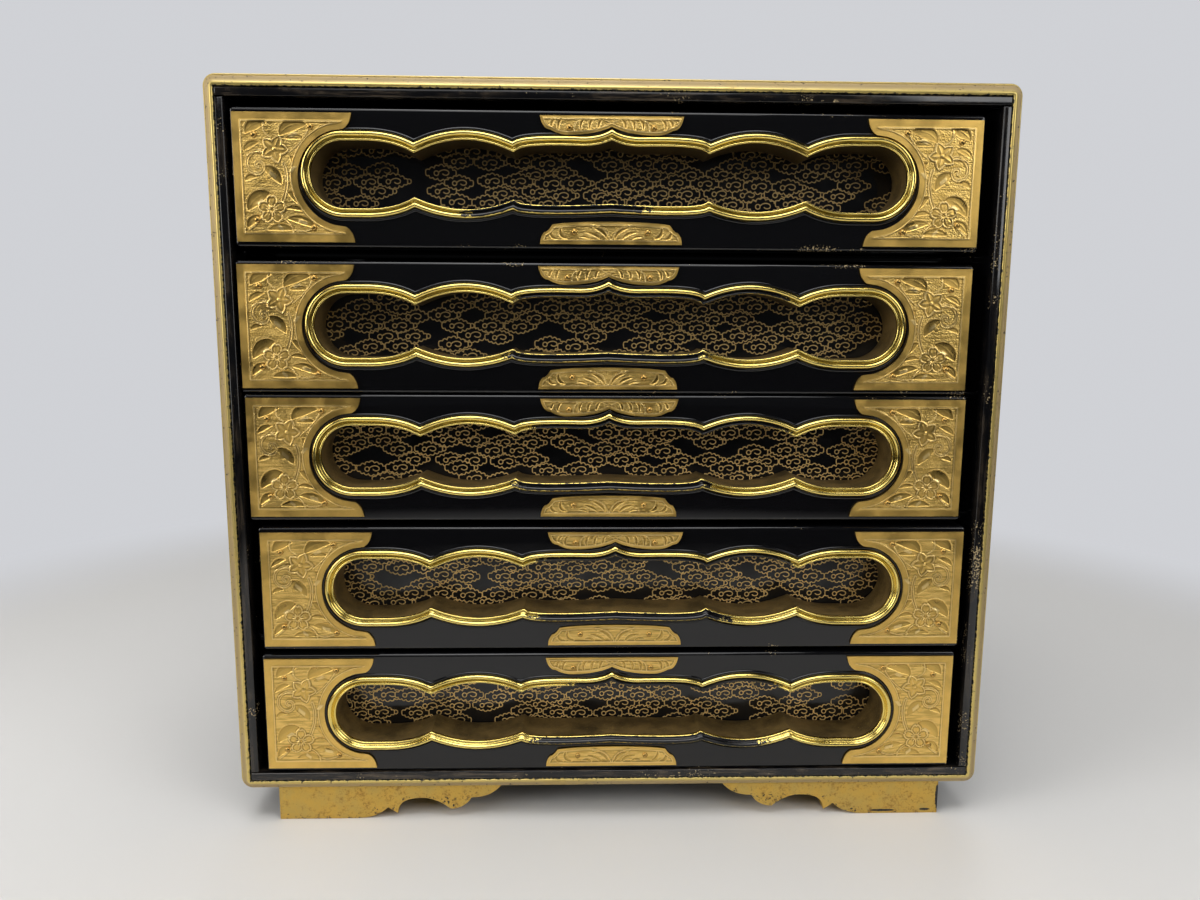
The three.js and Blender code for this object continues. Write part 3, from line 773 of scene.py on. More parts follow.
def lifted(ring, centre, y):
    """A flat ring of points as places in space, in front of a centre."""
    return [Vector((centre.x + x, y, centre.z + z)) for x, z in ring]


def rounded_rectangle(half_width, half_height, radius, steps=6):
    """Clockwise outline of a rectangle with round corners."""
    right, top = half_width - radius, half_height - radius
    return joined(
        arc((-right, top), radius, 180, 90, steps), arc((right, top), radius, 90, 0, steps),
        arc((right, -top), radius, 0, -90, steps), arc((-right, -top), radius, -90, -180, steps))


def centre_of(node):
    low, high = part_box(node)
    return (low + high) / 2


def recess_centre(drawer):
    return centre_of(f"drawer_{drawer}_front_board") + UP * RECESS_RISES[drawer - 1] * MM


# Case

def case_board(name, sizes):
    """A board of the case: rounded where it is the case's corner, stepped in front for the gilded edge."""
    low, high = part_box(name)
    bm = blank()
    seat = FRONT + MOULDING_DEPTH + SEAT_GAP
    verts = bmesh.ops.create_cube(bm, size=1.0)["verts"]
    main_low = Vector((low.x, seat, low.z))
    bmesh.ops.scale(bm, vec=high - main_low, verts=verts)
    bmesh.ops.translate(bm, vec=(high + main_low) / 2, verts=verts)
    level = high.z if high.z > CASE_HIGH.z - SEAT_GAP else low.z
    spans = high.x - low.x > EDGE_WIDTH * 4
    corners = [
        edge for edge in bm.edges
        if spans and all(abs(vert.co.z - level) < SEAT_GAP for vert in edge.verts)
        and abs(edge.verts[0].co.y - edge.verts[1].co.y) > EDGE_WIDTH]
    if corners:
        bmesh.ops.bevel(bm, geom=corners, offset=EDGE_RADIUS, offset_type="OFFSET", affect="EDGES",
                        segments=8, profile=0.5, material=-1)
    front = min(bm.faces, key=lambda face: face.calc_center_median().y)
    step = bmesh.ops.extrude_discrete_faces(bm, faces=[front])["faces"][0]
    inset = EDGE_WIDTH + SEAT_GAP
    for vert in step.verts:
        vert.co.x = min(max(vert.co.x, CASE_LOW.x + inset), CASE_HIGH.x - inset)
        vert.co.z = min(max(vert.co.z, CASE_LOW.z + inset - EDGE_SINK), CASE_HIGH.z - inset - EDGE_SINK)
    lip = bmesh.ops.extrude_discrete_faces(bm, faces=[step])["faces"][0]
    for vert in lip.verts:
        vert.co.y = FRONT
    set_mark(bm, [lip], "wear", LEVEL_WEAR if spans else UPRIGHT_WEAR)
    set_mark(bm, [lip], "ground", 0.0 if spans else 1.0)
    bmesh.ops.remove_doubles(bm, verts=bm.verts, dist=SEAT_GAP / 4)
    bmesh.ops.recalc_face_normals(bm, faces=bm.faces)
    sharp = [
        edge for edge in bm.edges
        if edge.calc_face_angle(0.0) > math.radians(60) and abs(edge.verts[0].co.y - seat) > SEAT_GAP]
    rounded = ease(bm, sharp, sizes.arris)
    calm(bm, [face for face in bm.faces if face not in rounded])
    keep(bm, name + "_lacquered", "case", [name], ["gloss_lacquer"])


class SUTRA_OT_case_boards(bpy.types.Operator):
    """Lacquered boards of the case, its back and the shelves that carry the drawers"""

    bl_idname = "sutra.case_boards"
    bl_label = "Case boards"

    def execute(self, context):
        sizes = context.scene.sutra_sizes
        for name in ("case_top", "case_bottom", "case_left_side", "case_right_side"):
            case_board(name, sizes)
        for name in ("case_back", "shelf_1", "shelf_2", "shelf_3", "shelf_4"):
            bm = blank()
            low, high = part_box(name)
            board(bm, low, high, sizes.arris)
            keep(bm, name + "_lacquered", "case", [name], ["gloss_lacquer"])
        return {"FINISHED"}


class SUTRA_OT_gilded_edge(bpy.types.Operator):
    """Gilded bead, sloped face and strip let into the front edge of the case"""

    bl_idname = "sutra.gilded_edge"
    bl_label = "Gilded edge"

    def execute(self, context):
        half = (CASE_HIGH - CASE_LOW) / 2
        centre = (CASE_HIGH + CASE_LOW) / 2
        nose = STRIP_WIDTH / 2
        strip = arc((nose, -STRIP_SET_BACK - nose), nose, 180, 25, 6) * (1, -1)
        slope = [(STRIP_WIDTH, STRIP_SET_BACK + nose / 2), *SLOPE_FOOT, SLOPE_CREST]
        bead = arc((EDGE_WIDTH - EDGE_BEAD, -EDGE_BEAD), EDGE_BEAD, 150, 0, 10) * (1, -1)
        profile = [(0, MOULDING_DEPTH), *strip, *slope, *bead, (EDGE_WIDTH, MOULDING_DEPTH)]
        rings = []
        wear = []
        dulled = []
        for inset, depth in profile:
            outline = rounded_rectangle(half.x - inset, half.z - inset, max(EDGE_RADIUS - inset, 0.2 * MM), 8)
            sunk = centre - UP * EDGE_SINK * inset / EDGE_WIDTH
            rings.append(lifted(outline, sunk, FRONT + depth))
            near_black = eased(inset, EDGE_WIDTH - BLACK_BORDER, EDGE_WIDTH)
            reach = np.hypot(half.x - np.abs(outline[:, 0]), half.z - np.abs(outline[:, 1]))
            at_corner = 1 - eased(reach, *CORNER_REACH)
            wear.append(BORDER_WEAR * near_black + CORNER_WEAR * at_corner)
            on_bead = BEAD_BRIGHTNESS * eased(inset, *BRIGHT_BEAD_START)
            on_strip = STRIP_BRIGHTNESS * (1 - eased(inset, *BRIGHT_STRIP_END))
            dulled.append(np.full(len(outline), 1.0 - on_bead - on_strip))
        bm = blank()
        wrapped(bm, rings + rings[:1], {"wear": wear + wear[:1], "ground": dulled + dulled[:1]})
        keep(bm, "gilded_edge", "case", ["front_edge_moulding"], ["worn_leaf"])
        return {"FINISHED"}


# Feet

def foot_outline(length, height):
    """Scalloped outline of one leg of a foot, from its outer lower corner."""
    sole, cusp, tooth, arch, lobe, step = (
        np.array((share * length, rise * height))
        for share, rise in (FOOT_SOLE, FOOT_CUSP, FOOT_TOOTH, FOOT_ARCH, FOOT_LOBE, FOOT_STEP))
    edge = joined(
        bend(sole, ((sole[0] + 2 * cusp[0]) / 3, 0), cusp, 8),
        bend(tooth, (tooth[0], arch[1]), arch, 10),
        bend(arch, ((arch[0] + lobe[0]) / 2, arch[1]), lobe, 10),
        bend(lobe, ((lobe[0] + 2 * step[0]) / 3, lobe[1]), step, 8),
        bend(step, ((step[0] + 2 * length) / 3, step[1]), (length, height), 8))
    return np.vstack([[(0, 0)], edge, [(0, height)]])


def leg(bm, length, height, arris, swap):
    """One leg of a foot, mitred at the corner where the other leg meets it."""
    leg_mesh = blank()
    outline = [leg_mesh.verts.new((x, 0, z)) for x, z in foot_outline(length, height)]
    face = leg_mesh.faces.new(outline)
    swept = bmesh.ops.extrude_face_region(leg_mesh, geom=[face])["geom"]
    moved = [item for item in swept if isinstance(item, bmesh.types.BMVert)]
    bmesh.ops.translate(leg_mesh, vec=(0, FOOT_THICKNESS, 0), verts=moved)
    front = [edge for edge in face.edges if max(vert.co.z for vert in edge.verts) < height - arris]
    ease(leg_mesh, front, arris)
    geometry = leg_mesh.verts[:] + leg_mesh.edges[:] + leg_mesh.faces[:]
    bmesh.ops.bisect_plane(leg_mesh, geom=geometry, dist=1e-7, plane_co=(0, 0, 0), plane_no=(1, -1, 0),
                           clear_inner=True)
    for leg_face in leg_mesh.faces:
        leg_face.material_index = 1 if swap else 0
    if swap:
        exchange = Matrix(((0, 1, 0, 0), (1, 0, 0, 0), (0, 0, 1, 0), (0, 0, 0, 1)))
        bmesh.ops.transform(leg_mesh, matrix=exchange, verts=leg_mesh.verts)
    part = bpy.data.meshes.new("leg")
    leg_mesh.to_mesh(part)
    leg_mesh.free()
    bm.from_mesh(part)
    bpy.data.meshes.remove(part)


class SUTRA_OT_feet(bpy.types.Operator):
    """Bracket feet with a scalloped edge, gilded where they face the front"""

    bl_idname = "sutra.feet"
    bl_label = "Feet"

    def execute(self, context):
        sizes = context.scene.sutra_sizes
        for end, inward in (("front", 1), ("back", -1)):
            for hand, side in (("left", -1), ("right", 1)):
                node = f"foot_{end}_{hand}"
                low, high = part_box(node)
                bm = blank()
                leg(bm, high.x - low.x, high.z - low.z, sizes.foot_arris, False)
                leg(bm, high.y - low.y, high.z - low.z, sizes.foot_arris, True)
                bmesh.ops.remove_doubles(bm, verts=bm.verts, dist=1e-6)
                bmesh.ops.scale(bm, vec=(-side, inward, 1), verts=bm.verts)
                corner = Vector((high.x if side > 0 else low.x, low.y if inward > 0 else high.y, 0))
                bmesh.ops.translate(bm, vec=corner, verts=bm.verts)
                gilded = end == "front"
                facing = "ochre_gilding" if gilded else "gloss_lacquer"
                keep(bm, node + "_carved", "case", [node], [facing, "gloss_lacquer"])
        return {"FINISHED"}


# Drawers

class SUTRA_OT_drawer_fronts(bpy.types.Operator):
    """Black drawer fronts with rounded edges and a half-round fillet round the recess"""

    bl_idname = "sutra.drawer_fronts"
    bl_label = "Drawer fronts"

    def execute(self, context):
        sizes = context.scene.sutra_sizes
        turn = np.radians(np.linspace(0, 90, 7))
        arris = sizes.drawer_arris
        rim = [(arris * (1 - math.sin(a)), arris * (1 - math.cos(a))) for a in turn]
        half_round = np.radians(np.linspace(180, 0, 11))
        reach = sizes.fillet_width / 2
        fillet = [(-reach * (1 - math.cos(a)), -sizes.fillet_height * math.sin(a)) for a in half_round]
        fillet_rings = [recess_ring(inset) for inset, depth in fillet]
        wall = recess_ring(0.0)
        for drawer in DRAWERS:
            node = f"drawer_{drawer}_front_board"
            low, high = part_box(node)
            high = high + UP * FRONT_RISES[drawer - 1] * MM
            half = (high - low) / 2
            centre = (low + high) / 2
            bm = blank()
            rings = []
            for inset, depth in rim:
                outline = rounded_rectangle(half.x - inset, half.z - inset, sizes.drawer_corner - inset)
                rings.append(lifted(outline, centre, low.y + depth))
            rings.append(lifted(rounded_rectangle(half.x, half.z, sizes.drawer_corner), centre, high.y))
            edges = [[1.0 if row < len(rim) else 0.0] * len(ring) for row, ring in enumerate(rings)]
            wrapped(bm, rings, {"edge": edges})
            middle = recess_centre(drawer)
            rings = [
                lifted(ring, middle, low.y + depth) for ring, (inset, depth) in zip(fillet_rings, fillet)]
            rings.append(lifted(wall, middle, high.y))
            wrapped(bm, rings)
            for y in (low.y, high.y):
                loop = [edge for edge in bm.edges
                        if edge.is_boundary and all(abs(vert.co.y - y) < 1e-6 for vert in edge.verts)]
                bmesh.ops.triangle_fill(bm, edges=loop, use_beauty=True, normal=(0, -1, 0))
            keep(bm, f"drawer_{drawer}_front", f"drawer_{drawer}", [node], ["gloss_lacquer"])
        return {"FINISHED"}


def frame_profile(sizes):
    """Cross-section of the gilded frame: inset from the recess's outline, and depth behind the board."""
    bead = sizes.bead_width / 2
    lip = sizes.lip_width / 2
    hollow_start = FRAME_SEAT + sizes.bead_width
    hollow_end = RECESS_FRAME_WIDTH - sizes.lip_width
    profile = [(FRAME_SEAT, FRAME_BACK)]
    for angle in np.radians(np.linspace(180, 18, 11)):
        rise = BEAD_FOOT + (sizes.bead_height - BEAD_FOOT) * math.sin(angle)
        profile.append((FRAME_SEAT + bead + bead * math.cos(angle), -rise))
    profile.append(((hollow_start + hollow_end) / 2, -HOLLOW_RISE))
    for angle in np.radians(np.linspace(165, 0, 6)):
        profile.append((hollow_end + lip + lip * math.cos(angle), -LIP_RISE - lip * math.sin(angle)))
    return profile + [(RECESS_FRAME_WIDTH, depth) for depth in LINING_STOPS]


def rim_wear(ring, inset, drawer):
    """How far the leaf is rubbed off a ring of the frame, from 0 to 1."""
    across = ring[:, 0] / MM
    inset = inset / MM

    def stretch(start, end):
        return eased(across, start - RIM_FEATHER, start + RIM_FEATHER) * (
            1 - eased(across, end - RIM_FEATHER, end + RIM_FEATHER))

    crest = eased(inset, 0.45, 0.9) * (1 - eased(inset, 3.4, 3.65))
    inner = eased(inset, 1.7, 2.2) * (1 - eased(inset, 3.6, 3.78))
    lower = stretch(*LOWER_RIM_WORN[drawer - 1]) * (0.25 + 0.75 * crest)
    upper = stretch(*UPPER_RIM_WORN[drawer - 1]) * inner
    return np.where(ring[:, 1] < 0, lower, upper) * RIM_WEAR


class SUTRA_OT_recess_frames(bpy.types.Operator):
    """Gilded frames that line the recesses: a bead, a hollow, a small lip and a powdered wall"""

    bl_idname = "sutra.recess_frames"
    bl_label = "Recess frames"

    def execute(self, context):
        profile = frame_profile(context.scene.sutra_sizes)
        outlines = [recess_ring(inset) for inset, depth in profile]
        for drawer in DRAWERS:
            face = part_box(f"drawer_{drawer}_front_board")[0].y
            middle = recess_centre(drawer)
            rings = [lifted(ring, middle, face + depth) for ring, (inset, depth) in zip(outlines, profile)]
            wear = [rim_wear(ring, inset, drawer) for ring, (inset, depth) in zip(outlines, profile)]
            # Painted shade: the powdered wall darkens towards the top of the recess, passed to the finish in
            # the edge mark
            shade = [eased(ring[:, 1], 2 * MM, 11 * MM) for ring in outlines]
            bm = blank()
            wrapped(bm, rings + rings[:1], {"wear": wear + wear[:1], "edge": shade + shade[:1]})
            for wall_face in bm.faces:
                wall_face.material_index = int(wall_face.calc_center_median().y > face + POWDER_START)
            node = f"drawer_{drawer}_recess_frame"
            keep(bm, f"drawer_{drawer}_gilded_frame", f"drawer_{drawer}", [node],
                 ["worn_leaf", "gold_powder"])
        return {"FINISHED"}


# Clouds

# Outline, hook and ring of a cloud in millimetres from its middle, and the ring that may trail behind it
CLOUD_EDGE = (
    (-6.3, -0.1), (-4.7, 1.3), (-2.7, 1.7), (-0.9, 2.7), (1.3, 2.4), (3.2, 1.9), (4.9, 1.0),
    (6.3, -0.1), (4.7, -1.3), (2.7, -1.8), (0.8, -2.6), (-1.4, -2.2), (-3.3, -1.9), (-4.9, -1.1))
CLOUD_HOOK = ((-1.0, 0.1), (0.0, 1.0), (1.8, 1.3), (3.4, 0.5), (3.1, -0.8), (1.6, -1.1), (0.6, -0.4))
CLOUD_RING = 0.95
CLOUD_RING_PLACE = (-1.9, -0.2)
CLOUD_TAIL = (6.9, 0)
CLOUD_BULGE = 0.76

# How the clouds are strewn: their rows in drawing order, how far they stray in millimetres, and the
# shares that trail a ring or are left out
CLOUD_ROWS = (-3, -1, 1, 3, -2, 0, 2)
CLOUD_PLACES = range(-10, 11)
CLOUD_SIZES = (0.95, 1.06)
CLOUD_STRAY = (2.0, 0.8)
TAILED = 0.6
LEFT_OUT = 0.1
LEFT_OUT_IN_GAPS = 0.5
GAP_PITCH = 3

# How much painted shade darkens the gold in each drawer, most on the top one, and how thick the gold film
# lies on the panel
CLOUD_SHADE = (0.85, 0.6, 0.15, 0.0, 0.0)
GOLD_FILM = 0.05 * MM


def cloud_ring(centre):
    return arc(centre, CLOUD_RING, 0, 360, 14)


def scalloped(corners):
    """A closed line of round lobes that swell outwards between clockwise corners."""
    corners = np.array(corners)
    along = np.roll(corners, -1, axis=0) - corners
    tops = corners + along / 2 + np.stack([-along[:, 1], along[:, 0]], axis=1) * CLOUD_BULGE
    return joined(*(bend(*lobe, 6) for lobe in zip(corners, tops, np.roll(corners, -1, axis=0))))


def cloud(spot, size):
    """A cloud's outline, and the ring and hook drawn in it."""
    drawn = (scalloped(CLOUD_EDGE), cloud_ring(CLOUD_RING_PLACE), rounded_path(np.array(CLOUD_HOOK)))
    return [line * size + spot for line in drawn]


def uncovered(line, outline):
    """The stretches of a line that lie outside an outline."""
    if (line.max(0) < outline.min(0)).any() or (line.min(0) > outline.max(0)).any():
        return [line]
    start, end = outline, np.roll(outline, -1, axis=0)
    x, z = line[:, :1], line[:, 1:]
    rising = (start[:, 1] > z) != (end[:, 1] > z)
    slope = (end[:, 0] - start[:, 0]) / (end[:, 1] - start[:, 1] + 1e-12)
    hidden = (rising & (x < start[:, 0] + slope * (z - start[:, 1]))).sum(axis=1) % 2 == 1
    breaks = np.nonzero(np.diff(hidden))[0] + 1
    pieces = np.split(np.arange(len(line)), breaks)
    return [line[piece] for piece in pieces if not hidden[piece[0]] and len(piece) > 2]


def drift_of_clouds(draw, pitch, rise):
    """Lines of clouds that overlap each other in drifts, in millimetres from the recess's centre."""
    lines = []
    gaps = {row: draw.randrange(GAP_PITCH) for row in sorted(CLOUD_ROWS)}
    for row in CLOUD_ROWS:
        for place in CLOUD_PLACES:
            size = draw.uniform(*CLOUD_SIZES)
            stray = [draw.uniform(-reach, reach) for reach in CLOUD_STRAY]
            spot = np.array((pitch * (place + 0.5 * (row % 2)), rise * row)) + stray
            tailed = draw.random() < TAILED
            if draw.random() < (LEFT_OUT_IN_GAPS if place % GAP_PITCH == gaps[row] else LEFT_OUT):
                continue
            drawn = cloud(spot, size)
            covers = [drawn[0]]
            if tailed:
                covers.append(cloud_ring(spot + np.array(CLOUD_TAIL) * size))
            for cover in covers:
                lines = [piece for line in lines for piece in uncovered(line, cover)]
            lines += drawn + [piece for tail in covers[1:] for piece in uncovered(tail, drawn[0])]
    return lines


def rounded_path(corners):
    """A smooth line through corners, bent between the middles of its steps."""
    middles = (corners[:-1] + corners[1:]) / 2
    bends = (bend(*points, 4) for points in zip(middles[:-1], corners[1:-1], middles[1:]))
    return joined(corners[:1], *bends, corners[-1:])


def ribbon(bm, line, width, y):
    """A flat stroke of even width along a line."""
    side = sideways(line) * width / 2
    steps = len(line) - 1
    verts = bmesh.ops.create_grid(bm, x_segments=steps, y_segments=1, size=1.0)["verts"]
    for vert in verts:
        spot = round((vert.co.x + 1) / 2 * steps)
        x, z = line[spot] + side[spot] * vert.co.y
        vert.co = (x, y, z)


class SUTRA_OT_cloud_panels(bpy.types.Operator):
    """Black panels behind the recesses, with drifts of clouds drawn in gold line"""

    bl_idname = "sutra.cloud_panels"
    bl_label = "Cloud panels"

    def execute(self, context):
        sizes = context.scene.sutra_sizes
        draw = random.Random(sizes.cloud_seed)
        for drawer in DRAWERS:
            node = f"drawer_{drawer}_cloud_panel"
            low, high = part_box(node)
            middle = recess_centre(drawer)
            bm = blank()
            board(bm, low, high, sizes.arris)
            plain = set(bm.faces)
            spot = np.array((middle.x, middle.z))
            lines = drift_of_clouds(draw, sizes.cloud_pitch / MM, sizes.cloud_rise / MM)
            for index, line in enumerate(lines):
                lift = GOLD_FILM * (0.4 + 0.05 * (index % 12))
                ribbon(bm, line * MM + spot, sizes.cloud_line, low.y - lift)
            gold = [face for face in bm.faces if face not in plain]
            bmesh.ops.recalc_face_normals(bm, faces=gold)
            for face in gold:
                if face.normal.y > 0:
                    face.normal_flip()
                face.material_index = 1
            # Painted shade on the clouds' gold, carried in the wear mark
            set_mark(bm, gold, "wear", CLOUD_SHADE[drawer - 1])
            corners = list(dict.fromkeys(vert for face in gold for vert in face.verts))
            bmesh.ops.remove_doubles(bm, verts=corners, dist=1e-6)
            keep(bm, f"drawer_{drawer}_clouds", f"drawer_{drawer}", [node],
                 ["cloud_ground", "cloud_gold"])
        return {"FINISHED"}


class SUTRA_OT_trays(bpy.types.Operator):
    """Open wooden trays behind the drawer fronts"""

    bl_idname = "sutra.trays"
    bl_label = "Trays"

    def execute(self, context):
        arris = context.scene.sutra_sizes.arris
        for drawer in DRAWERS:
            node = f"drawer_{drawer}_tray"
            low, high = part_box(node)
            bm = blank()
            over = low.z + TRAY_BOTTOM
            left = low.x + TRAY_SIDE
            right = high.x - TRAY_SIDE
            back = high.y - TRAY_SIDE
            board(bm, low, Vector((high.x, high.y, over)), arris)
            board(bm, Vector((low.x, low.y, over)), Vector((left, high.y, high.z)), arris)
            board(bm, Vector((right, low.y, over)), high, arris)
            board(bm, Vector((left, back, over)), Vector((right, high.y, high.z)), arris)
            keep(bm, f"drawer_{drawer}_wooden_tray", f"drawer_{drawer}", [node],
                 ["grained_wood"])
        return {"FINISHED"}


# Brass plates

def beside(points, line):
    """Each point's distance from a line, its share of the way along it, and its side as 1 or -1."""
    gap = np.full(len(points), np.inf)
    share = np.zeros(len(points))
    side = np.zeros(len(points))
    for index, (here, there) in enumerate(zip(line[:-1], line[1:])):
        along = there - here
        from_here = points - here
        reach = np.clip(from_here @ along / max(along @ along, 1e-12), 0, 1)
        away = np.linalg.norm(from_here - reach[:, None] * along, axis=1)
        nearer = away < gap
        gap[nearer] = away[nearer]
        share[nearer] = (index + reach[nearer]) / (len(line) - 1)
        turn = from_here[nearer, 1] * along[0] - from_here[nearer, 0] * along[1]
        side[nearer] = np.sign(turn)
    return gap, share, side


def gap_to(points, line):
    return beside(points, line)[0]


def turned(points, centre, degrees):
    """Places of points along and across a direction, from a centre."""
    angle = math.radians(degrees)
    u, v = (points - centre).T
    return u * math.cos(angle) + v * math.sin(angle), v * math.cos(angle) - u * math.sin(angle)


def ridge(gap, width):
    """A round ridge of that width along a line, 1 on its crest."""
    return np.cos(np.clip(np.abs(gap) / width, 0, 1) * math.pi) * 0.5 + 0.5


class Chasing:
    """Relief of a plate, worked motif by motif in millimetres, with its punched ground, leaves darkened with
    painted shade, and cuts given a painted glint.
    """

    GROUND = -0.1
    SUNK = -0.12
    LINE = 0.24
    BORDER = 0.22
    VEIN = 0.07
    PETAL_EDGE = 0.3
    CUT = 0.06
    CUT_GLINT = 0.85

    def __init__(self, points, field):
        self.points = points
        self.ground = PLAIN + (1 - PLAIN) * eased(field, 0.35, 0.6)
        # Painted glint of the chisel cuts, shown in the crest colour
        self.bright = np.zeros(len(points))
        self.height = self.GROUND * eased(field, 0.0, 0.45) + self.BORDER * ridge(field - 0.3, 0.36)

    def smooth_out(self, share):
        self.ground += share * (np.minimum(self.ground, PLAIN) - self.ground)

    def stroke(self, line, width=0.4, double=0.0):
        """A raised line, or two beside each other."""
        gap = gap_to(self.points, line)
        crest = ridge(gap - double, width)
        self.height += self.LINE * crest
        self.smooth_out(eased(crest, 0.05, 0.4) if not double else 1 - eased(gap, double, double + width))

    def leaf(self, start, bow, end, breadth, rim=0.07):
        """A smooth sunken leaf along a bent line, pointed at both ends, with a raised edge and a vein, and
        painted shade that darkens it most where it is sunk deepest.
        """
        gap, share, side = beside(self.points, bend(start, bow, end, 12))
        edge = gap - breadth * np.sin(math.pi * share) ** 0.65
        inside = 1 - eased(edge, -0.7, 0.1)
        vein = ridge(gap, 0.24) * inside * eased(share, 0.1, 0.2) * (1 - eased(share, 0.65, 0.8))
        free = eased(self.ground, PLAIN + 0.1, 0.95)
        turned_up = eased(-side * gap / breadth, -0.8, 0.9)
        sunk = self.SUNK * inside * (1 - 0.7 * turned_up)
        self.height += free * (sunk + rim * ridge(edge, 0.34) + self.VEIN * vein)
        # Painted shade: the ground mark darkens the leaf most where it is sunk deepest and least where it
        # turns up
        tone = PLAIN * (0.12 + 0.88 * turned_up)
        self.ground += inside * free * (tone - self.ground)

    def cut(self, u, v, length, breadth, turn):
        """A flat chisel cut inside a leaf, raised a little, with a painted glint in the crest colour."""
        along, across = turned(self.points, (u, v), turn)
        edge = np.maximum(np.abs(along + 0.5 * across) - length / 2, np.abs(across) - breadth / 2)
        inside = 1 - eased(edge, -0.2, 0.1)
        self.height += self.CUT * inside
        # Painted glint: the cut is coloured like a bright crest
        self.bright = np.maximum(self.bright, self.CUT_GLINT * inside)

    def petals(self, u, v, count, start, outline, veins):
        """A flower: petals whose edge is given by their outline, hollow inside, edged and veined in line."""
        nearest = np.full(len(self.points), np.inf)
        veined = np.zeros(len(self.points))
        for index in range(count):
            along, across = turned(self.points, (u, v), start + 360 * index / count)
            edge = outline(along, across)
            inside = 1 - eased(edge, -0.3, 0.0)
            for vein in veins:
                line = ridge(across - vein * along, 0.26) * inside * eased(along, 0.8, 1.6)
                veined = np.maximum(veined, line * (1 - eased(along, 3.4, 4.6)))
            nearest = np.minimum(nearest, edge)
        inside = 1 - eased(nearest, -0.2, 0.15)
        flower = 0.02 + 0.1 * eased(-nearest, 0.4, 1.8) + 0.1 * veined
        self.height = self.height * (1 - inside) + flower * inside
        self.height += self.PETAL_EDGE * ridge(nearest, 0.4)
        self.ground = self.ground * (1 - 0.4 * (1 - eased(nearest, 0.1, 0.4)))

    def boss(self, u, v, radius, rise):
        gap = np.hypot(*(self.points - (u, v)).T)
        self.height += rise * np.sqrt(np.clip(1 - (gap / radius) ** 2, 0, 1))
        self.smooth_out(1 - eased(gap, radius, radius + 0.2))


def star_petal(along, across):
    """Signed distance from a pointed petal's edge."""
    length = 5.6
    share = np.clip(along / length, 0, 1)
    half = 1.95 * np.sin(math.pi * share ** 0.9) ** 0.9
    edge = np.abs(across) - half
    return np.where((along < 0) | (along > length), np.maximum(edge, 0.6), edge * 0.75)


def blossom_petal(along, across):
    """Signed distance from a round petal with a notch in its tip."""
    body = (np.hypot((along - 3.3) / 2.3, across / 2.05) - 1) * 2.1
    notch = 0.75 - np.hypot((along - 6.1) / 1.2, across / 0.8)
    return np.maximum(body, notch)


def end_plate_line():
    """Inner edge of an end plate from its lower to its upper edge."""
    half = PLATE_HEIGHT / 2
    meet = math.degrees(math.acos((half - TIP_HEIGHT - TIP_STEP) / END_ARC))
    tip = bend((END_WIDTH, 0), (END_WIDTH - TIP_STEP, TIP_BEND), (END_WIDTH - TIP_SET, TIP_HEIGHT), 10)
    bow = arc((END_ARC_CENTRE, half), END_ARC, 270 - meet, 180, 40)
    lower = joined(tip, bow)
    upper = lower[::-1] * (1, -1) + (0, PLATE_HEIGHT)
    return joined(lower, upper)


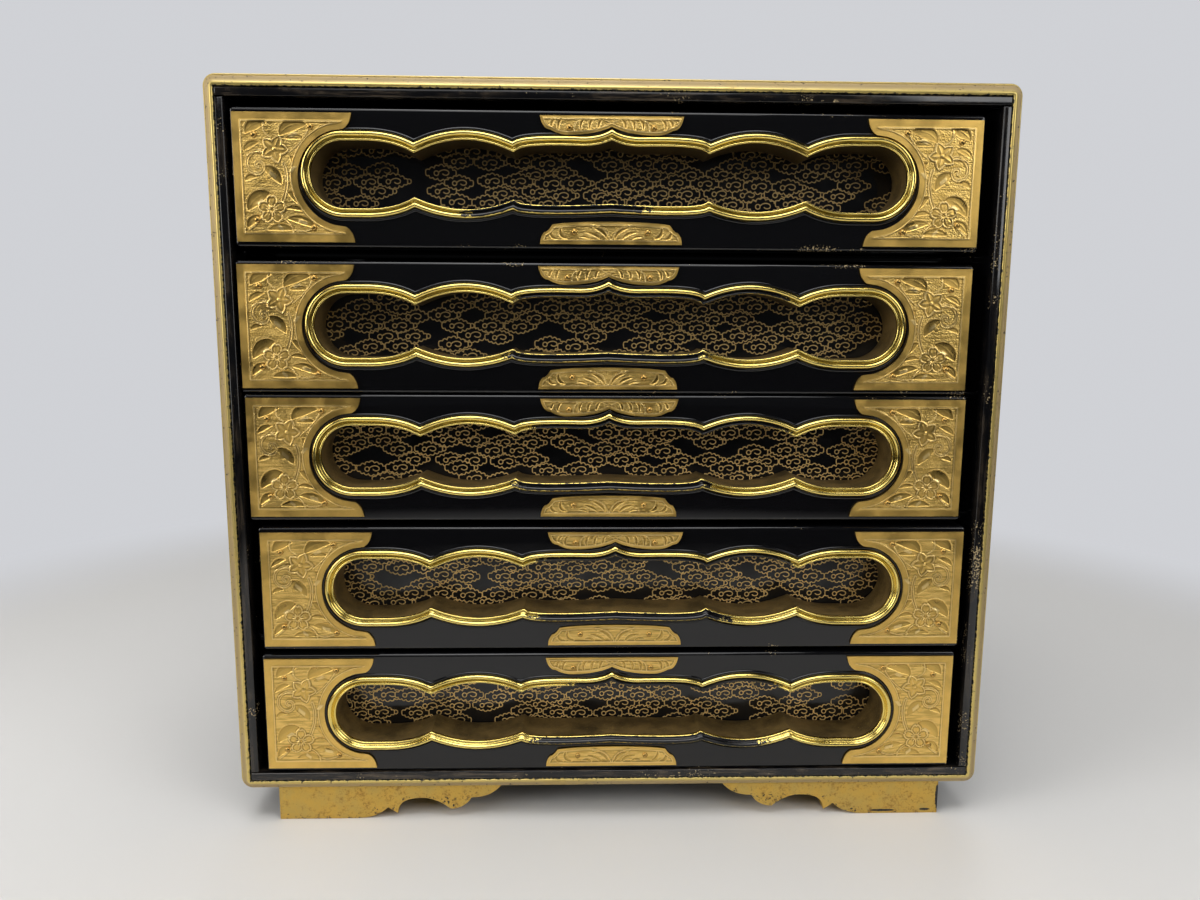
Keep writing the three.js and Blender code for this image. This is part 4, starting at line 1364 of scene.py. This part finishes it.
def end_plate_ornament(points):
    """Flowers, stem, spiral and leaves of an end plate."""
    u, v = points.T
    sides = np.minimum(np.minimum(u, v), PLATE_HEIGHT - v) - END_BORDER
    inner = gap_to(points, end_plate_line()) - END_ARC_BORDER
    work = Chasing(points, np.minimum(sides, inner))
    for leaf in (
            ((5.0, 42.0), (8.0, 47.2), (13.8, 46.2), 2.5), ((18.6, 41.2), (21.6, 47.0), (29.8, 45.6), 2.7),
            ((20.6, 40.2), (24.6, 41.6), (28.8, 40.4), 1.3), ((22.2, 33.6), (25.8, 31.4), (24.6, 25.8), 1.9),
            ((11.6, 29.2), (16.6, 28.0), (18.8, 22.4), 2.4), ((4.8, 12.0), (7.8, 18.8), (14.2, 19.0), 2.9),
            ((4.4, 5.2), (5.8, 9.4), (10.0, 10.0), 1.8), ((12.4, 4.6), (17.6, 7.0), (23.0, 4.6), 1.7),
            ((20.4, 9.0), (26.4, 10.2), (32.4, 5.2), 1.9), ((20.8, 19.6), (24.2, 18.8), (25.6, 14.4), 1.7),
            ((20.0, 13.0), (23.4, 14.6), (26.8, 12.0), 1.2), ((4.2, 35.2), (6.2, 38.8), (10.8, 38.8), 1.5),
            ((4.2, 23.6), (6.0, 26.4), (9.2, 25.2), 1.3)):
        work.leaf(*leaf)
    for cut in ((24.0, 41.8, 3.4, 1.5, 25), (15.4, 26.2, 3.6, 1.5, -40), (17.6, 5.6, 2.8, 1.2, -40),
                (26.6, 7.8, 3.6, 1.4, -15), (23.4, 28.4, 3.0, 1.4, 50), (10.0, 15.6, 3.0, 1.4, 35)):
        work.cut(*cut)
    work.stroke(bend((20.0, 30.4), (22.6, 23.6), (18.6, 15.4), 12), 0.36, 0.42)
    wind = 0.5 + 5.6 * (1 - np.linspace(0, 1, 48)) ** 1.6
    work.stroke(arc(SPIRAL, wind[:, None], 61, 620, 47), 0.42, 0.36)
    work.boss(13.6, 25.4, 1.1, 0.14)
    work.boss(26.0, 8.2, 0.9, 0.12)
    for line in (
            bend((4.9, 4.7), (8.0, 6.4), (10.8, 10.2), 6),
            bend((19.0, 8.9), (22.2, 7.4), (22.8, 3.6), 8),
            bend((23.4, 4.7), (26.6, 3.4), (31.2, 5.8), 8),
            bend((12.6, 46.6), (11.2, 42.4), (15.2, 40.8), 8),
            bend((22.0, 34.8), (27.2, 38.4), (30.3, 44.0), 8),
            bend((5.6, 33.6), (9.0, 35.8), (12.6, 34.6), 8)):
        work.stroke(line, 0.34)
    work.petals(*STAR, 5, 67, star_petal, (0.0,))
    work.petals(*BLOSSOM, 5, 90, blossom_petal, (-0.22, 0.22))
    for angle in np.radians(np.arange(0, 360, 30)):
        ray = np.array([(math.cos(angle) * reach, math.sin(angle) * reach) for reach in (0.8, 2.3)])
        work.stroke(ray + BLOSSOM, 0.26)
    work.boss(*BLOSSOM, 0.9, 0.22)
    work.boss(*STAR, 0.9, 0.2)
    return work


def upper_plate_line():
    """Hanging edge of the upper plate from left to right."""
    ear = MIDDLE_HALF - UPPER_EAR
    lobe = MIDDLE_HALF - UPPER_LOBE_FROM
    right = joined(
        bend((0, -UPPER_CUSP), (UPPER_CUSP_BEND, -UPPER_LOBE), (lobe, -UPPER_LOBE), 14),
        bend((lobe, -UPPER_LOBE), ((ear + lobe) / 2, -UPPER_LOBE), (ear, -UPPER_EAR_DROP), 8),
        bend((ear, -UPPER_EAR_DROP), (MIDDLE_HALF - UPPER_EAR / 4, -UPPER_EAR_DROP), (MIDDLE_HALF, 0), 8))
    return joined(right[::-1] * (-1, 1), right)


def lower_plate_line():
    """Arched edge of the lower plate from left to right."""
    shoulder = MIDDLE_HALF - LOWER_SHOULDER
    level = LOWER_HEIGHT - LOWER_STEP_DROP
    right = joined(
        bend((0, LOWER_HEIGHT), (MIDDLE_HALF - LOWER_BEND, LOWER_HEIGHT),
             (shoulder, LOWER_HEIGHT - LOWER_SHOULDER_DROP), 10),
        bend((shoulder, LOWER_HEIGHT - LOWER_SHOULDER_DROP), (shoulder + LOWER_STEP, level),
             (MIDDLE_HALF - LOWER_STEP, level), 8),
        bend((MIDDLE_HALF - LOWER_STEP, level), (MIDDLE_HALF, level - LOWER_STEP), (MIDDLE_HALF, 0), 8))
    return joined(right[::-1] * (-1, 1), right)


def both_hands(work, line):
    """A thin raised line and its mirror image."""
    for side in (1, -1):
        work.stroke(line * (side, 1), 0.3)


def upper_plate_ornament(points):
    """Feathered leaves that fan out from the cusp of the upper plate."""
    field = np.minimum(gap_to(points, upper_plate_line()) - 0.8, -points[:, 1] - 0.8)
    work = Chasing(points, field)
    for side in (-1, 1):
        for u in (3.6, 7.2, 10.8, 19.8, 22.6):
            work.leaf((side * u, -1.4), (side * (u + 2.6), -2.4), (side * (u + 1.6), -6.0), 0.8, 0.1)
    both_hands(work, bend((12.6, -1.6), (15.4, -2.2), (15.2, -6.2), 6))
    both_hands(work, bend((0.6, -2.6), (2, -1.8), (3, -1.4), 4))
    return work


def lower_plate_ornament(points):
    """Two leaves that part from the middle of the lower plate, with scrolls beside them."""
    field = np.minimum(gap_to(points, lower_plate_line()) - 1.0, points[:, 1] - 1.2)
    work = Chasing(points, field)
    for side in (-1, 1):
        for start, bow, end, breadth in (
                ((1.4, 1.8), (2.6, 6.0), (7.6, 6.6), 0.9), ((4.4, 1.8), (6.0, 4.8), (11.4, 5.0), 0.9),
                ((8.6, 1.8), (10.4, 4.0), (13.4, 2.6), 0.7), ((17.4, 2.2), (21.6, 3.0), (20.4, 6.8), 1.0),
                ((21.2, 2.0), (25.4, 2.4), (24.2, 5.6), 0.9)):
            work.leaf(*(np.array(point) * (side, 1) for point in (start, bow, end)), breadth, 0.1)
    both_hands(work, bend((0.3, 1.7), (1.6, 7.0), (8.4, 7.6), 8))
    return work


def softened(field, reach):
    """A grid of heights, each averaged over its neighbours."""
    rows, columns = field.shape
    padded = np.pad(field, reach, mode="edge")
    span = range(2 * reach + 1)
    return sum(padded[i:i + rows, j:j + columns] for i in span for j in span) / len(span) ** 2


def relief_sheet(base, edge, rows, ornament):
    """A brass sheet ruled between two lines, with the ornament raised on its front, which faces -Y."""
    bm = blank()
    columns = len(base) - 1
    verts = bmesh.ops.create_grid(bm, x_segments=columns, y_segments=rows, size=1.0)["verts"]
    spots = np.array([vert.co[:2] for vert in verts])
    column = np.rint((spots[:, 0] + 1) / 2 * columns).astype(int)
    share = (spots[:, 1:] + 1) / 2
    points = base[column] + (edge[column] - base[column]) * share
    work = ornament(points)
    row = np.rint(share[:, 0] * rows).astype(int)
    field = np.zeros((rows + 1, columns + 1))
    field[row, column] = work.height
    proud = (field - softened(field, 2))[row, column]
    # The ground mark also carries the leaves' painted shade, and the edge mark the cuts' painted glint beside
    # the rubbed crests
    marks = {
        "ground": work.ground, "wear": eased(-proud, 0.015, 0.07),
        "edge": np.maximum(work.bright, eased(proud, 0.03, 0.12))}
    for index, vert in enumerate(verts):
        u, v = points[index]
        vert.co = Vector((u, -work.height[index], v)) * MM
        for mark, values in marks.items():
            vert[bm.verts.layers.float[mark]] = values[index]
    bmesh.ops.remove_doubles(bm, verts=verts, dist=1e-7)
    rim = [rim_edge for rim_edge in bm.edges if rim_edge.is_boundary]
    walls = bmesh.ops.extrude_edge_only(bm, edges=rim)["geom"]
    for item in walls:
        if isinstance(item, bmesh.types.BMVert):
            item.co.y = PLATE_THICKNESS
    back = [item for item in walls if isinstance(item, bmesh.types.BMEdge) and item.is_boundary]
    bmesh.ops.edgeloop_fill(bm, edges=back)
    bmesh.ops.recalc_face_normals(bm, faces=bm.faces)
    return bm


def drive_nails(bm, nails, sizes):
    """Domed nail heads, half sunk in the sheet."""
    flatten = Matrix.Diagonal((1, sizes.nail_height / sizes.nail_radius, 1, 1))
    for u, v in nails:
        place = Matrix.Translation(Vector((u, 0, v)) * MM)
        head = bmesh.ops.create_uvsphere(
            bm, u_segments=18, v_segments=10, radius=sizes.nail_radius, matrix=place @ flatten)
        for face in {face for vert in head["verts"] for face in vert.link_faces}:
            face.material_index = 1


def plate_mesh(name, bm):
    for face in bm.faces:
        face.smooth = len(face.verts) < 5
    mesh = bpy.data.meshes.new(name)
    bm.to_mesh(mesh)
    bm.free()
    return mesh


def place_plate(pattern, drawer, part, x, z, mirror=False):
    """A copy of a plate's pattern on its drawer front, mirrored for the right-hand end."""
    node = f"drawer_{drawer}_{part}"
    mesh = pattern.copy()
    if mirror:
        mesh.transform(Matrix.Scale(-1, 4, Vector((1, 0, 0))))
        mesh.flip_normals()
    mesh.transform(Matrix.Translation((x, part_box(node)[1].y - PLATE_THICKNESS, z)))
    mesh.name = node + "_chased"
    keep_mesh(mesh, node + "_chased", f"drawer_{drawer}", [node],
              ["chased_brass", "nail_brass"], PLATE_SHARP_ANGLE)


class SUTRA_OT_end_plates(bpy.types.Operator):
    """Brass plates at the ends of the drawer fronts, chased with flowers on a punched ground"""

    bl_idname = "sutra.end_plates"
    bl_label = "End plates"

    def execute(self, context):
        sizes = context.scene.sutra_sizes
        step = sizes.plate_step / MM
        edge = stepped(end_plate_line(), step)
        bm = relief_sheet(edge * (0, 1), edge, round(END_WIDTH / step), end_plate_ornament)
        drive_nails(bm, END_NAILS, sizes)
        pattern = plate_mesh("end_plate", bm)
        for drawer in DRAWERS:
            low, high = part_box(f"drawer_{drawer}_end_plate_left")
            place_plate(pattern, drawer, "end_plate_left", low.x, low.z)
            low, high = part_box(f"drawer_{drawer}_end_plate_right")
            place_plate(pattern, drawer, "end_plate_right", high.x, low.z, True)
        bpy.data.meshes.remove(pattern)
        return {"FINISHED"}


class SUTRA_OT_middle_plates(bpy.types.Operator):
    """Small brass plates above and below the middle of each recess"""

    bl_idname = "sutra.middle_plates"
    bl_label = "Middle plates"

    def execute(self, context):
        sizes = context.scene.sutra_sizes
        step = sizes.plate_step / MM
        kinds = (
            ("upper_plate", upper_plate_line(), upper_plate_ornament, UPPER_NAILS, UPPER_LOBE),
            ("lower_plate", lower_plate_line(), lower_plate_ornament, LOWER_NAILS, LOWER_HEIGHT))
        for part, line, ornament, nails, tall in kinds:
            edge = stepped(line, step)
            bm = relief_sheet(edge * (1, 0), edge, round(tall / step), ornament)
            drive_nails(bm, nails, sizes)
            pattern = plate_mesh(part, bm)
            for drawer in DRAWERS:
                low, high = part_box(f"drawer_{drawer}_{part}")
                level = high.z if part == "upper_plate" else low.z
                place_plate(pattern, drawer, part, (low.x + high.x) / 2, level)
            bpy.data.meshes.remove(pattern)
        return {"FINISHED"}


# Stage

HEART = (0, 0, 0.16)

# Each light's name, place, target, width, height, power in watts, and colour where it isn't white
LIGHTS = (
    ("overhead", (-0.1, -0.25, 1.25), (0, -0.2, 0), 1.1, 0.8, 10),
    ("left_window", (-1.25, -0.7, 0.6), HEART, 0.6, 0.9, 10, (1.0, 0.98, 0.95)),
    ("right_fill", (1.0, -0.95, 0.75), HEART, 0.7, 0.7, 6),
    ("front_bounce", (-0.2, -1.3, 1.15), HEART, 1.2, 0.5, 4.4),
    ("strip", (-0.15, -0.5, 1.15), (0, -0.12, 0.15), 1.3, 0.1, 2.5),
    ("behind", (0.3, 1.4, 1.1), HEART, 1.4, 0.8, 8))


def soft_light(name, place, target, width, height, power, colour=(1, 1, 1)):
    lamp = bpy.data.lights.new(name, "AREA")
    lamp.shape = "RECTANGLE"
    lamp.size = width
    lamp.size_y = height
    lamp.energy = power
    lamp.color = colour
    holder = bpy.data.objects.new(name, lamp)
    holder.location = place
    holder.rotation_euler = (Vector(target) - Vector(place)).to_track_quat("-Z", "Y").to_euler()
    bpy.context.scene.collection.objects.link(holder)


def studio_world():
    """A pale backdrop for the camera and a dim room for reflections."""
    world = bpy.data.worlds.new("studio")
    bpy.context.scene.world = world
    world.use_nodes = True
    tree = world.node_tree
    room = next(node for node in tree.nodes if node.type == "BACKGROUND")
    output = next(node for node in tree.nodes if node.type == "OUTPUT_WORLD")
    room.inputs["Color"].default_value = ROOM_TINT
    room.inputs["Strength"].default_value = ROOM_LIGHT
    backdrop = tree.nodes.new("ShaderNodeBackground")
    backdrop.inputs["Color"].default_value = BACKDROP
    backdrop.inputs["Strength"].default_value = 1.0
    rays = tree.nodes.new("ShaderNodeLightPath")
    choice = tree.nodes.new("ShaderNodeMixShader")
    tree.links.new(rays.outputs["Is Camera Ray"], choice.inputs[0])
    tree.links.new(room.outputs[0], choice.inputs[1])
    tree.links.new(backdrop.outputs[0], choice.inputs[2])
    tree.links.new(choice.outputs[0], output.inputs["Surface"])


class SUTRA_OT_stage(bpy.types.Operator):
    """Floor, soft lights and the camera at the photograph's viewing angle"""

    bl_idname = "sutra.stage"
    bl_label = "Stage"

    def execute(self, context):
        sizes = context.scene.sutra_sizes
        bm = bmesh.new()
        bmesh.ops.create_grid(bm, x_segments=1, y_segments=1, size=sizes.floor_size / 2)
        mesh = bpy.data.meshes.new("floor")
        bm.to_mesh(mesh)
        bm.free()
        mesh.materials.append(finish_named("pale_floor"))
        floor = bpy.data.objects.new("floor", mesh)
        context.scene.collection.objects.link(floor)
        studio_world()
        for light in LIGHTS:
            soft_light(*light)
        lens = bpy.data.cameras.new("camera")
        lens.sensor_fit = "HORIZONTAL"
        lens.sensor_width = SENSOR_WIDTH
        lens.lens = sizes.lens
        camera = bpy.data.objects.new("camera", lens)
        context.scene.collection.objects.link(camera)
        yaw, pitch, roll = (math.radians(angle) for angle in (CAMERA_YAW, CAMERA_PITCH, CAMERA_ROLL))
        ahead = Vector((math.sin(yaw) * math.cos(pitch), math.cos(yaw) * math.cos(pitch), math.sin(pitch)))
        level = ahead.cross(UP).normalized()
        over = level.cross(ahead)
        right = level * math.cos(roll) + over * math.sin(roll)
        top = over * math.cos(roll) - level * math.sin(roll)
        turn = Matrix((right, top, -ahead)).transposed()
        camera.matrix_world = Matrix.Translation(CAMERA_PLACE) @ turn.to_4x4()
        context.scene.camera = camera
        context.scene.view_settings.view_transform = "Standard"
        return {"FINISHED"}


class SUTRA_PT_box(bpy.types.Panel):
    """The box's steps, sizes and colours"""

    bl_idname = "SUTRA_PT_box"
    bl_label = "Sutra Box"
    bl_space_type = "VIEW_3D"
    bl_region_type = "UI"
    bl_category = "Sutra Box"

    def draw(self, context):
        for step in STEPS:
            self.layout.operator(step.bl_idname)
        for group in (context.scene.sutra_sizes, context.scene.sutra_finishes):
            column = self.layout.column()
            for name in group.bl_rna.properties.keys():
                if name not in ("rna_type", "name"):
                    column.prop(group, name)


STEPS = (
    SUTRA_OT_stage, SUTRA_OT_case_boards, SUTRA_OT_gilded_edge, SUTRA_OT_feet, SUTRA_OT_drawer_fronts,
    SUTRA_OT_recess_frames, SUTRA_OT_cloud_panels, SUTRA_OT_trays, SUTRA_OT_end_plates,
    SUTRA_OT_middle_plates)
CLASSES = (BoxSizes, BoxFinishes) + STEPS + (SUTRA_PT_box,)


def register():
    for kind in CLASSES:
        bpy.utils.register_class(kind)
    bpy.types.Scene.sutra_sizes = PointerProperty(type=BoxSizes)
    bpy.types.Scene.sutra_finishes = PointerProperty(type=BoxFinishes)


def unregister():
    del bpy.types.Scene.sutra_finishes
    del bpy.types.Scene.sutra_sizes
    for kind in reversed(CLASSES):
        bpy.utils.unregister_class(kind)


def main():
    register()
    for step in STEPS:
        group, name = step.bl_idname.split(".")
        getattr(getattr(bpy.ops, group), name)()


if __name__ == "__main__":
    main()
